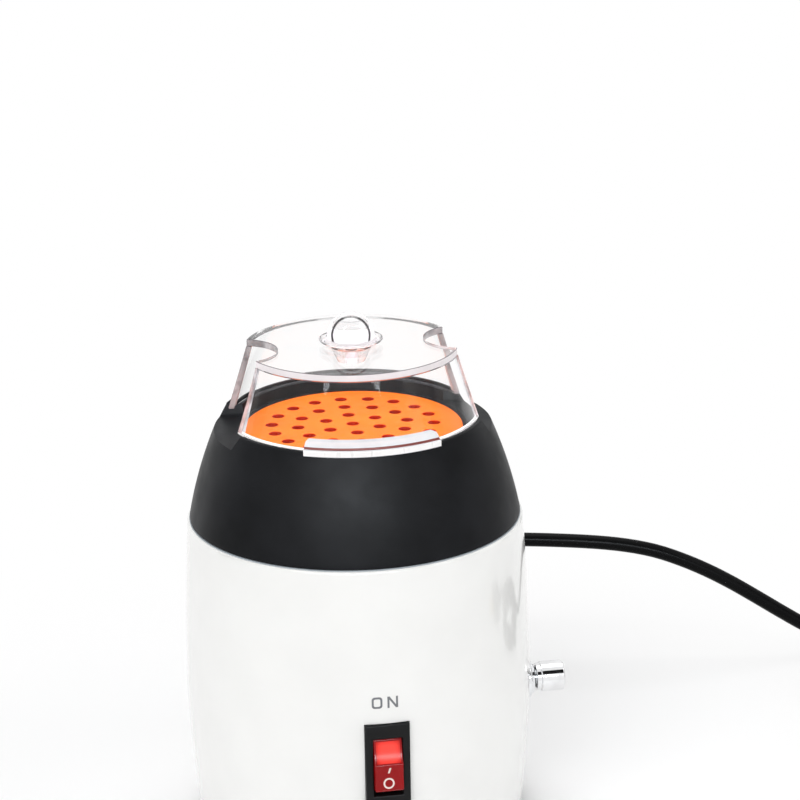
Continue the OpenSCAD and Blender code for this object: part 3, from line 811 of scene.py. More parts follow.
    @staticmethod
    def copy_round(name: str, piece: bpy.types.Object, centre: Point, turns: Sequence[float],
                   axis: Axis = Axis.Z) -> bpy.types.Object:
        """Copies a piece round an axis and joins the copies, each with its own mesh.

        Args:
            name: The name of the joined piece.
            piece: The piece, which becomes the first copy.
            centre: A point on the axis.
            turns: The angle of each copy, in degrees.
            axis: The axis.

        Returns:
            The joined piece.
        """
        copies = []
        for turn in turns:
            copy = piece.copy()
            copy.data = piece.data.copy()
            bpy.context.scene.collection.objects.link(copy)
            middle = Vector(centre) * MM
            spin = Matrix.Rotation(math.radians(turn), 4, axis.vector)
            copy.data.transform(Matrix.Translation(middle) @ spin @ Matrix.Translation(-middle))
            copies.append(copy)
        bpy.data.objects.remove(piece, do_unlink=True)
        return Bench.gather(name, copies)


def arc(centre: Pair, radius: float, start: float, end: float, steps: int) -> list[Pair]:
    """Gives points on an arc of a profile.

    Args:
        centre: Radius and height of the arc's middle.
        radius: The arc's radius.
        start: First angle in degrees, 0 outwards and 90 up.
        end: Last angle in degrees.
        steps: Number of steps.

    Returns:
        The points, steps + 1 of them.
    """
    angles = [math.radians(start + (end - start) * k / steps) for k in range(steps + 1)]
    return [(centre[0] + radius * math.cos(a), centre[1] + radius * math.sin(a)) for a in angles]


# ------------------------------------------------------------------ sub-assemblies


@dataclass
class Shape:
    """Curves that several pieces share."""

    belly_r: float = 64.6
    belly_z: float = 56.0
    barrel_top_r: float = 62.0
    barrel_foot_r: float = 61.0
    seam_z: float = 119.5
    seam_half: float = 0.2
    collar_r: float = 61.2

    def barrel(self, z: float) -> float:
        """Returns the barrel's outer radius at height z."""
        if z < self.belly_z:
            drop, span = self.belly_r - self.barrel_foot_r, self.belly_z
        else:
            drop, span = self.belly_r - self.barrel_top_r, self.seam_z - self.belly_z
        return self.belly_r - drop * (abs(z - self.belly_z) / span) ** 1.7

    def collar(self, z: float) -> float:
        """Returns the collar's outer radius at height z."""
        up = z - self.seam_z
        return self.collar_r - 0.185 * up - 0.0036 * up * up


@dataclass
class Assembly:
    """What every sub-assembly has: the frame's words, the paints and the shared curves."""

    frame: dict
    paint: Paintbox
    shape: Shape = field(default_factory=Shape)

    def finish(self, piece: bpy.types.Object, body: str, finish: str | None, slot: str,
               nodes: Sequence[str] = ()) -> bpy.types.Object:
        """Paints a piece, lets it ride on a body and puts it in place of CAD nodes.

        Args:
            piece: The piece.
            body: The body it moves with.
            finish: The paint's name, or None where its faces are painted already.
            slot: The record's material slot; not used.
            nodes: The CAD nodes that it stands for.

        Returns:
            The piece.
        """
        if finish:
            self.paint.dress(piece, finish)
        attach(piece, body)
        if nodes:
            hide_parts(*nodes)
        log.info("%s: %d faces, on %s", piece.name, len(getattr(piece.data, "polygons", [])), body)
        return piece

    def paint_faces(self, piece: bpy.types.Object, finish: str,
                    wanted: Callable[[bpy.types.MeshPolygon], bool]) -> None:
        """Paints the faces that a test picks.

        Args:
            piece: The piece, painted already.
            finish: The paint's name.
            wanted: The test on a face.
        """
        held = piece.data.materials
        if finish not in held:
            held.append(self.paint[finish])
        index = held.find(finish)
        for face in piece.data.polygons:
            if wanted(face):
                face.material_index = index


@dataclass
class Barrel(Assembly):
    """The white barrel with its seats and its air slots, and the legend over the switch."""

    wall: float = 2.6
    foot_z: float = 3.0
    lip_round: float = 0.75
    collar_seat_r: float = 58.6
    collar_seat_drop: float = 3.2
    neck_r: float = 47.0
    neck_t: float = 2.5
    control_z: float = 46.0
    gland_z: float = 57.0
    seat_depth: float = 1.0
    switch_hole: Pair = (6.8, 15.1)
    switch_recess: Pair = (8.2, 16.7)
    recess_depth: float = 1.6
    shaft_hole_r: float = 4.7
    nut_seat_r: float = 8.2
    cord_hole_r: float = 5.9
    gland_seat_r: float = 8.0
    through: Pair = (50.0, 70.0)
    louvres: int = 9
    louvre_step: float = 8.0
    louvre_half: float = 1.5
    louvre_span: Pair = (14.0, 38.0)
    boss_r: float = 4.0
    boss_ring_r: float = 46.0
    boss_span: Pair = (6.0, 24.0)
    legend_middle: Pair = (-0.6, 70.7)
    letter_w: float = 3.8
    letter_h: float = 4.3
    letter_apart: float = 5.6
    stroke: float = 0.72
    print_proud: float = 0.05
    print_root: float = 0.12

    def build(self) -> None:
        """Makes the barrel and the legend and paints the seam ring."""
        self.shell()
        self.legend()
        self.paint.dress(self.frame["nodes"]["seam_ring"], "seam_grey")

    def shell(self) -> None:
        """Makes the turned shell, cuts its openings and adds the bosses of the base's screws."""
        curve, foot, lip = self.shape.barrel, self.foot_z, self.lip_round
        top = self.shape.seam_z - self.shape.seam_half
        seat_z = top - self.collar_seat_drop
        neck_z = seat_z - self.neck_t
        steps = 74
        heights = [foot + 0.8 + (top - 1.9 - foot) * k / steps for k in range(steps + 1)]
        profile = [(curve(foot) - 0.7, foot), (curve(foot) - 0.2, foot + 0.25)]
        profile += [(curve(z), z) for z in heights]
        profile += arc((self.shape.barrel_top_r - lip, top - lip), lip, 15, 90, 4)
        profile += [(self.collar_seat_r, top), (self.collar_seat_r, seat_z), (self.neck_r, seat_z),
                    (self.neck_r, neck_z), (curve(neck_z) - self.wall, neck_z)]
        profile += [(curve(z) - self.wall, z) for z in heights[::-3] if z < top - 9]
        profile += [(curve(foot) - self.wall, foot), profile[0]]
        shell = Bench.lathe("barrel_shell", profile, 208)
        Bench.cut(shell, *self.cutters())
        Bench.smooth(shell, 30)
        low, high = self.boss_span
        bosses = []
        for turn in (math.radians(degrees) for degrees in (45, 135, 225, 315)):
            spot = (self.boss_ring_r * math.cos(turn), self.boss_ring_r * math.sin(turn))
            bosses.append(Bench.rod("boss", self.boss_r, (*spot, low), (*spot, high), 32))
        shell = Bench.gather("barrel_shell", [shell, *bosses])
        self.finish(shell, "housing", "white_gloss", "white_gloss", ["barrel"])

    def cutters(self) -> list[bpy.types.Object]:
        """Returns the cutters of the switch's opening, the two round seats and the air slots."""
        inside, outside = self.through
        z, cord_z, seat = self.control_z, self.gland_z, self.shape.belly_r - self.seat_depth
        recess_y = self.recess_depth - self.shape.belly_r
        cutters = [
            Bench.window("cut", self.switch_hole, z, -outside, -inside),
            Bench.window("cut", self.switch_recess, z, -outside, recess_y),
            Bench.rod("cut", self.shaft_hole_r, (inside, 0, z), (outside, 0, z)),
            Bench.rod("cut", self.nut_seat_r, (seat, 0, z), (outside, 0, z), 64),
            Bench.rod("cut", self.cord_hole_r, (0, inside, cord_z), (0, outside, cord_z)),
            Bench.rod("cut", self.gland_seat_r, (0, seat, cord_z), (0, outside, cord_z), 64),
        ]
        half, (low, high) = self.louvre_half, self.louvre_span
        slot = Bench.box("slot", (-half, inside, low), (half, outside, high))
        Bench.round_along(slot, Axis.Y, half - 0.1, 5)
        turns = [(k - (self.louvres - 1) / 2) * self.louvre_step for k in range(self.louvres)]
        return cutters + [Bench.copy_round("slots", slot, (0, 0, 0), turns)]

    def legend(self) -> None:
        """Prints ON over the switch: a squared O and an N, laid on the barrel's curve."""
        x, z = self.legend_middle
        w, h, s = self.letter_w / 2, self.letter_h / 2, self.stroke
        left, right = x - self.letter_apart / 2, x + self.letter_apart / 2
        ring = Bench.box("o", (left - w, -1, z - h), (left + w, 1, z + h))
        hole = Bench.box("o", (left - w + s, -2, z - h + s), (left + w - s, 2, z + h - s))
        for shape, corner in ((ring, 1.1), (hole, 0.6)):
            Bench.round_along(shape, Axis.Y, corner)
        Bench.cut(ring, hole)
        posts = [Bench.box("n", (edge, -1, z - h), (edge + s, 1, z + h))
                 for edge in (right - w, right + w - s)]
        bar = Bench.box("n", (-s / 2, -1, -h - 0.35), (s / 2, 1, h + 0.35))
        slant = Matrix.Rotation(-math.atan2(2 * w - s, 2 * h), 4, "Y")
        bar.data.transform(Matrix.Translation(Vector((right, 0, z)) * MM) @ slant)
        for low in (z + h, z - 2 * h):
            Bench.cut(bar, Bench.box("trim", (right - 2 * w, -2, low), (right + 2 * w, 2, low + h)))
        legend = Bench.gather("legend_on", [ring, *posts, bar])
        Bench.hold(legend)
        bpy.ops.object.mode_set(mode="EDIT")
        bpy.ops.mesh.select_all(action="SELECT")
        bpy.ops.mesh.quads_convert_to_tris()
        bpy.ops.object.mode_set(mode="OBJECT")
        for vertex in legend.data.vertices:
            surface = math.sqrt(self.shape.barrel(vertex.co.z / MM) ** 2 - (vertex.co.x / MM) ** 2)
            proud = self.print_proud if vertex.co.y < 0 else -self.print_root
            vertex.co.y = -(surface + proud) * MM
        self.finish(legend, "housing", "legend_grey", "seam_grey")
@dataclass
class Collar(Assembly):
    """The matt black collar with its side notches, and the orange hot plate in it."""

    foot_z: float = 116.0
    bore_r: float = 55.4
    spigot_r: float = 58.2
    wall: float = 3.0
    deck_z: float = 146.4
    seat_z: float = 149.4
    ledge_z: float = 153.2
    rebate_z: float = 157.2
    rim_z: float = 158.4
    rim_round: float = 0.9
    notch_half: float = 20.0
    notch_round: float = 1.2
    plate_r: float = 40.2
    plate_t: float = 4.0
    plate_round: float = 0.8
    hole_r: float = 2.1
    hole_flare: float = 0.35
    hole_rings: tuple[tuple[float, int], ...] = ((10.5, 6), (20.2, 12), (29.7, 18))
    hole_start: float = 90.0

    def build(self) -> None:
        """Makes the collar and the plate."""
        self.ring()
        self.plate()

    def ring(self) -> None:
        """Makes the turned collar and cuts its notches."""
        curve, rim, deck, corner = self.shape.collar, self.rim_z, self.deck_z, self.rim_round
        seam = self.shape.seam_z + self.shape.seam_half
        steps = 30
        heights = [seam + 1.0 + (rim - 1.9 - seam) * k / steps for k in range(steps + 1)]
        profile = [(self.bore_r, self.foot_z), (self.spigot_r, self.foot_z), (self.spigot_r, seam),
                   (curve(seam) - 0.7, seam), (curve(seam) - 0.2, seam + 0.3)]
        profile += [(curve(z), z) for z in heights]
        profile += arc((curve(rim - corner) - corner, rim - corner), corner, 12, 90, 5)
        profile += [(47.25, rim), (46.95, rim - 0.3), (46.95, self.rebate_z), (43.6, self.rebate_z),
                    (42.7, self.ledge_z), (41.9, self.ledge_z), (40.6, self.ledge_z - 1), (40.6, self.seat_z),
                    (38.4, self.seat_z), (38.4, deck), (44.8, deck), (44.8, deck + 3.6),
                    (curve(150) - self.wall, deck + 3.6)]
        profile += [(curve(z) - self.wall, z) for z in (145, 139, 133, 127, 123)]
        profile += [(self.bore_r, seam), profile[0]]
        ring = Bench.lathe("collar_ring", profile, 192)
        for turn in (0, math.pi):
            notch = self.notch()
            notch.data.transform(Matrix.Rotation(turn, 4, "Z"))
            Bench.cut(ring, notch)
        Bench.smooth(ring, 30)
        self.finish(ring, "housing", "collar_black", "collar_black", ["collar"])

    def notch(self) -> bpy.types.Object:
        """Returns the cutter of the right notch, with rounded feet."""
        half, r = self.notch_half, self.notch_round
        right = [(half - r + r * math.sin(turn), self.ledge_z + r * (1 - math.cos(turn)))
                 for turn in (math.radians(degrees) for degrees in (0, 22, 45, 68, 84))]
        right += [(half + 3, self.rim_z + 5)]
        return Bench.prism("notch", [(-y, z) for y, z in right[::-1]] + right, 30, 62)

    def plate(self) -> None:
        """Makes the hot plate and its rings of holes, whose walls get a painted shade, a deeper red with a
        faint painted glow.
        """
        edge, low, top = self.plate_round, self.seat_z, self.seat_z + self.plate_t
        profile = [(0, low), (self.plate_r, low), (self.plate_r, top - edge)]
        profile += arc((self.plate_r - edge, top - edge), edge, 15, 90, 5)
        profile += [(32, top), (0, top)]
        plate = Bench.lathe("plate_top", profile, 128)
        spots = [(0.0, 0.0)]
        for radius, count in self.hole_rings:
            turns = [math.radians(self.hole_start + k * 360 / count) for k in range(count)]
            spots += [(radius * math.cos(a), radius * math.sin(a)) for a in turns]
        r, wide = self.hole_r, self.hole_r + self.hole_flare
        drill = [(0, low - 1), (r, low - 1), (r, top - 0.3), (wide, top + 0.05), (wide, top + 1),
                 (0, top + 1)]
        drills = [Bench.lathe("drill", drill, 28, Axis.Z, (x, y, 0)) for x, y in spots]
        Bench.cut(plate, Bench.gather("drills", drills))
        self.paint.dress(plate, "orange_enamel")
        # Painted shade on the holes' walls.
        self.paint_faces(plate, "hole_wall", lambda face: abs(face.normal.z) < 0.9
                         and face.center.xy.length < (self.plate_r - 2) * MM)
        Bench.smooth(plate, 30)
        self.finish(plate, "housing", None, "orange_enamel", ["hot_plate"])
@dataclass
class Lid(Assembly):
    """The clear lid: two bent walls, a disc with two notches, the lip at the front and the ball knob."""

    low_z: float = 157.4
    disc_z: float = 181.4
    top_z: float = 184.0
    rim_r: float = 46.64
    disc_r: float = 39.1
    sheet: float = 2.1
    foot_h: float = 0.9
    slot_centre: float = 42.0
    slot_half: float = 15.0
    bore_r: float = 2.1
    nut_h: float = 5.3
    lip_z: float = 158.8
    lip_h: float = 3.6
    lip_start: float = 241.5
    lip_sweep: float = 57.0
    ball_r: float = 8.7
    steps: int = 144
    gap: float = 0.02
    def cone(self, z: float) -> float:
        """Returns the outer radius of the lid's wall at height z."""
        return self.rim_r + (self.disc_r + 0.2 - self.rim_r) * (z - self.low_z) / (self.disc_z - self.low_z)

    def build(self) -> None:
        """Makes the lid's pieces."""
        self.wall("lid_wall_front", 180, "lid_front_panel", self.low_z + self.foot_h - 0.01)
        self.wall("lid_wall_rear", 0, "lid_rear_panel", 0)
        self.disc()
        self.lip()
        self.knob()

    def slots(self) -> list[bpy.types.Object]:
        """Returns the two cutters of the side slots, each with a round inner end."""
        cutters = []
        for side in (1, -1):
            x = side * self.slot_centre
            rod = Bench.rod("slot", self.slot_half, (x, 0, self.low_z - 5), (x, 0, self.top_z + 5), 72)
            far = side * (self.slot_centre + 20)
            block = Bench.box("slot", (min(x, far), -self.slot_half, self.low_z - 5),
                              (max(x, far), self.slot_half, self.top_z + 5))
            Bench.fuse(block, rod)
            cutters.append(block)
        return cutters

    def paint_edges(self, piece: bpy.types.Object, painted_highlight_below: float) -> None:
        """Paints the sawn edges at the slots and a painted highlight on the edge at the rim.

        Args:
            piece: A clear piece, cut already.
            painted_highlight_below: Height under which an edge gets the painted highlight.
        """
        def sawn(face: bpy.types.MeshPolygon) -> bool:
            """Tells whether a face lies on a slot's wall."""
            x, y = abs(face.center.x) / MM, face.center.y / MM
            from_wall = abs(math.hypot(x - self.slot_centre, y) - self.slot_half)
            on_round = from_wall < 0.2 and x < self.slot_centre
            on_side = abs(abs(y) - self.slot_half) < 0.02 and x >= self.slot_centre - 0.1
            return abs(face.normal.z) < 0.3 and (on_round or on_side)

        self.paint_faces(piece, "sawn_edge", sawn)
        # Painted highlight on the low edge.
        self.paint_faces(piece, "bright_edge", lambda face: face.center.z < painted_highlight_below * MM)

    def line_edges(self, piece: bpy.types.Object, width: float) -> None:
        """Breaks a clear piece's sharp edges and paints the broken edges grey, a painted shade for the thin
        lines such edges show.

        Args:
            piece: The piece, painted already.
            width: Width of the broken edge.
        """
        # Painted shade on the broken edges.
        piece.data.materials.append(self.paint["edge_line"])
        Bench.apply(piece, "BEVEL", width=width * MM, segments=1, limit_method="ANGLE",
                    angle_limit=math.radians(50), material=len(piece.data.materials) - 1)

    def wall(self, name: str, start: float, node: str, painted_highlight_below: float) -> None:
        """Makes one bent wall.

        Args:
            name: The piece's name.
            start: Angle where its half turn starts.
            node: The CAD node it stands for.
            painted_highlight_below: Height under which its edge gets the painted highlight.
        """
        low, foot, high = self.low_z, self.low_z + self.foot_h, self.disc_z - self.gap
        inner = [(self.cone(z) - self.sheet, z) for z in (high, foot, low)]
        profile = [inner[-1], (self.cone(low) - 0.4, low), (self.cone(low + 0.5), low + 0.5),
                   (self.cone(foot), foot), (self.cone(high), high), *inner]
        wall = Bench.lathe(name, profile, self.steps // 2, Axis.Z, (0, 0, 0), start, 180)
        Bench.cut(wall, *self.slots())
        self.paint.dress(wall, "clear_sheet")
        self.paint_edges(wall, painted_highlight_below)
        self.line_edges(wall, 0.22)
        Bench.smooth(wall, 25)
        self.finish(wall, "lid", None, "clear_sheet", [node])

    def disc(self) -> None:
        """Makes the disc on top with its two round notches."""
        low, top, r, bore = self.disc_z, self.top_z, self.disc_r, self.bore_r
        profile = [(bore, low), (r, low), (r, top), (bore, top), (bore, low)]
        disc = Bench.lathe("lid_top_disc", profile, self.steps)
        Bench.cut(disc, *self.slots())
        self.paint.dress(disc, "clear_sheet")
        self.paint_edges(disc, 0)
        # The front half of the disc's edge gets the painted highlight.
        self.paint_faces(disc, "disc_edge", lambda face: abs(face.normal.z) < 0.5 and face.center.y < 0
                         and face.center.xy.length > (r - 1) * MM)
        self.line_edges(disc, 0.2)
        self.paint_faces(disc, "clear_sheet", lambda face: face.center.y > 0
                         and face.center.z < (top - 0.3) * MM and face.center.xy.length > (r - 0.5) * MM)
        Bench.smooth(disc, 25)
        self.finish(disc, "lid", None, "clear_sheet", ["lid_disc"])

    def lip(self) -> None:
        """Makes the lip at the front: a sloped top face, a groove with a painted reflection line, and a hook
        with a painted highlight.
        """
        low, top = self.lip_z, self.lip_z + self.lip_h
        back = [(self.cone(z) + self.gap, z) for z in (top, low)]
        profile = [back[-1], (49.7, low), (49.7, low - 1.1), (51.0, low - 1.1), (51.2, low - 0.9),
                   (51.2, low + 1.1), (50.9, low + 1.4), (50.3, low + 1.5), (50.15, low + 2.1),
                   (48.6, top - 0.1), (48.3, top), *back]
        lip = Bench.lathe("lid_lip", profile, 40, Axis.Z, (0, 0, 0), self.lip_start, self.lip_sweep)
        self.paint.dress(lip, "lip_sheet")
        # Painted highlight on the hook's outer faces.
        self.paint_faces(lip, "bright_edge", lambda face: face.normal.xy.length > 0.8
                         and face.center.xy.length > 50.9 * MM)
        # Painted reflection line in the groove.
        self.paint_faces(lip, "warm_line", lambda face: low + 1.4 < face.center.z / MM < low + 2.0
                         and 50.1 < face.center.xy.length / MM < 51.0)
        Bench.smooth(lip, 25)
        self.finish(lip, "lid", None, "clear_sheet", ["lid_front_lip"])

    def knob(self) -> None:
        """Makes the ball knob on its dished foot and the cone shaped nut under the disc."""
        foot = self.top_z + self.gap
        low = self.disc_z - self.nut_h
        stud = self.bore_r - 0.07
        profile = [(0, low), (stud, low), (stud, foot), (6.5, foot), (6.7, foot + 0.15), (7.6, foot + 0.6),
                   (9.4, foot + 0.85), (10.8, foot + 1.1), (11.5, foot + 1.6), (11.7, foot + 2.0),
                   (11.45, foot + 2.2), (10.9, foot + 1.9), (9.7, foot + 1.75)]
        profile += arc((0, self.top_z + 3), self.ball_r, -4, 90, 22)
        knob = Bench.lathe("lid_ball", profile, 96)
        self.paint.dress(knob, "clear_solid")
        self.paint_faces(knob, "cement", lambda face: face.center.z < (foot + 1) * MM
                         and face.normal.z < 0.1 and face.center.xy.length < 10 * MM)
        # The ball above its foot gets the painted dark arcs.
        self.paint_faces(knob, "clear_ball", lambda face: face.center.z > (foot + 2.4) * MM)
        Bench.smooth(knob, 40)
        self.finish(knob, "lid", None, "clear_sheet", ["lid_knob"])
        high, bore = self.disc_z - self.gap, self.bore_r
        cone = [(bore, low), (4.8, low), (5.05, low + 0.12), (5.2, low + 0.4), (7.2, high - 0.58),
                (7.2, high), (bore, high), (bore, low)]
        nut = Bench.lathe("lid_cone_nut", cone, 96)
        Bench.smooth(nut, 40)
        self.finish(nut, "lid", "clear_solid", "clear_sheet", ["lid_nut"])


@dataclass
class Switch(Assembly):
    """The black switch with its red rocker and the rocker's marks."""

    middle_z: float = 46.0
    bezel_y: float = -63.0
    bezel_t: float = 2.6
    bezel_half: Pair = (8.0, 16.5)
    body_half: Pair = (6.6, 14.9)
    body_depth: float = 20.4
    opening_half: Pair = (5.35, 11.1)
    opening_depth: float = 17.5
    pivot_y: float = -59.1
    tilt: float = 12.0
    rocker_w: float = 10.2
    pin_r: float = 1.5
    pin_end: float = 6.1
    face: tuple[Pair, ...] = ((9.35, 0.0), (8.7, 1.6), (8.15, 3.6), (7.85, 5.6), (7.75, 7.6), (7.6, 9.2))
    bar_y: float = -8.575
    bar_slant: float = 0.3
    ring_y: float = -7.75
    mark_proud: float = 0.07
    mark_root: float = 0.25

    def build(self) -> None:
        """Makes the switch."""
        self.housing()
        self.rocker()
        self.marks()
        self.paint.dress(self.frame["nodes"]["switch_terminals"], "brass_blade")

    def housing(self) -> None:
        """Makes the bezel and the body with their opening."""
        z, front, back = self.middle_z, self.bezel_y - self.bezel_t, self.bezel_y
        bezel = Bench.window("switch_bezel", self.bezel_half, z, front, back)
        Bench.fuse(bezel, Bench.window("body", self.body_half, z, back - 0.5, back + self.body_depth))
        Bench.cut(bezel, Bench.window("cut", self.opening_half, z, front - 1, front + self.opening_depth))
        Bench.bevel(bezel, 0.4, 3)
        Bench.smooth(bezel, 40)
        self.finish(bezel, "housing", "switch_black", "switch_black", ["switch_housing"])
    def place_on_rocker(self, piece: bpy.types.Object) -> None:
        """Moves a piece built in the rocker's level position, with its pivot at the origin, to its place."""
        tip = Matrix.Rotation(math.radians(-self.tilt), 4, "X")
        piece.data.transform(Matrix.Translation(Vector((0, self.pivot_y, self.middle_z)) * MM) @ tip)

    def rocker(self) -> None:
        """Makes the rocker: two hollow curved faces that meet in a ridge, and its pins."""
        half = self.rocker_w / 2
        side = [*self.face, (6.9, 9.75), (2.6, 9.9), (-2.4, 6), (-3.4, 0)]
        outline = [(-out, up) for out, up in side] + [(-out, -up) for out, up in side[-2:0:-1]]
        rocker = Bench.prism("rocker_cap", outline, -half, half)
        Bench.pick(rocker, True, lambda normal, middle: normal.y < -0.6 and 0.5 < middle.z < 9.0)
        bpy.ops.mesh.inset(thickness=0.75 * MM, depth=-0.12 * MM)
        bpy.ops.object.mode_set(mode="OBJECT")
        # The inset upper face gets the painted highlight.
        painted_highlight_faces = [polygon.index for polygon in rocker.data.polygons if polygon.select]
        self.paint.dress(rocker, "rocker_red")
        self.paint_faces(rocker, "rocker_lit", lambda polygon: polygon.index in painted_highlight_faces)
        Bench.bevel(rocker, 0.35, 2, 40)
        pins = Bench.rod("pins", self.pin_r, (-self.pin_end, 0, 0), (self.pin_end, 0, 0), 24)
        pins.data.materials.append(self.paint["rocker_red"])
        rocker = Bench.gather("rocker_cap", [rocker, pins])
        self.place_on_rocker(rocker)
        Bench.smooth(rocker, 30)
        self.finish(rocker, "rocker", None, "rocker_red", ["switch_rocker"])
    def marks(self) -> None:
        """Prints the on and off signs, a bar and a ring, on the rocker's lower half."""
        bar = Bench.window("mark_bar", (0.32, 1.0), -1.9, self.bar_y - 0.375, self.bar_y + 0.375)
        for vertex in bar.data.vertices:
            vertex.co.x += (vertex.co.z + 1.9 * MM) * self.bar_slant
        Bench.bevel(bar, 0.12, 2)
        ring = Bench.lathe("mark_ring", [(1.4, -0.2), (2.0, -0.2), (2.0, 0.2), (1.4, 0.2), (1.4, -0.2)], 48,
                           Axis.Y, (-0.3, self.ring_y, -6.7))
        marks = Bench.gather("rocker_marks", [bar, ring])
        for vertex in marks.data.vertices:
            up = abs(vertex.co.z) / MM
            middle = self.bar_y if up < 4.2 else self.ring_y
            proud = self.mark_proud if vertex.co.y / MM < middle else -self.mark_root
            vertex.co.y = -(self.face_out(up) + proud) * MM
        self.place_on_rocker(marks)
        Bench.smooth(marks, 40)
        self.finish(marks, "rocker", "mark_white", "rocker_red")

    def face_out(self, up: float) -> float:
        """Returns how far the rocker's face stands out from its pivot at a height from its ridge."""
        for (out, low), (out_next, high) in zip(self.face, self.face[1:]):
            if up <= high:
                return out + (out_next - out) * (up - low) / (high - low)
        return self.face[-1][0]
@dataclass
class HeatControl(Assembly):
    """The heat control at the right side: a bright flange and a turned metal knob."""

    middle_z: float = 46.0
    nut_x: float = 63.6
    neck_x: float = 68.2
    face_x: float = 79.0
    knob_r: float = 5.8

    def build(self) -> None:
        """Makes the flange and the knob."""
        centre = (0, 0, self.middle_z)
        x, bore = self.nut_x, 4.6
        flange = [(bore, x), (7.5, x), (7.7, x + 0.2), (7.7, x + 1.3)]
        flange += arc((6.7, x + 1.4), 1.0, 0, 70, 5)
        flange += [(6.3, x + 2.6), (6.2, x + 3.2), (6.0, x + 3.4), (bore, x + 3.4), (bore, x)]
        nut = Bench.lathe("control_flange", flange, 96, Axis.X, centre)
        Bench.smooth(nut, 30)
        self.finish(nut, "housing", "nickel_bright", "nickel_bright", ["control_nut"])
        r, bore, neck, face = self.knob_r, 3.0, self.neck_x, self.face_x
        head = neck + 1.8
        body = [(bore, neck), (5.1, neck), (5.3, neck + 0.2), (5.3, head - 0.2), (5.5, head), (r - 0.2, head),
                (r, head + 0.2)]
        body += arc((r - 0.7, face - 0.7), 0.7, 0, 90, 6)
        body += [(r - 1.6, face), (r - 1.8, face - 0.18), (0, face - 0.18), (0, face - 1.6),
                 (bore, face - 1.6), (bore, neck)]
        knob = Bench.lathe("control_knob", body, 96, Axis.X, centre)
        Bench.smooth(knob, 30)
        self.finish(knob, "knob", "nickel_turned", "nickel_satin", ["side_knob"])
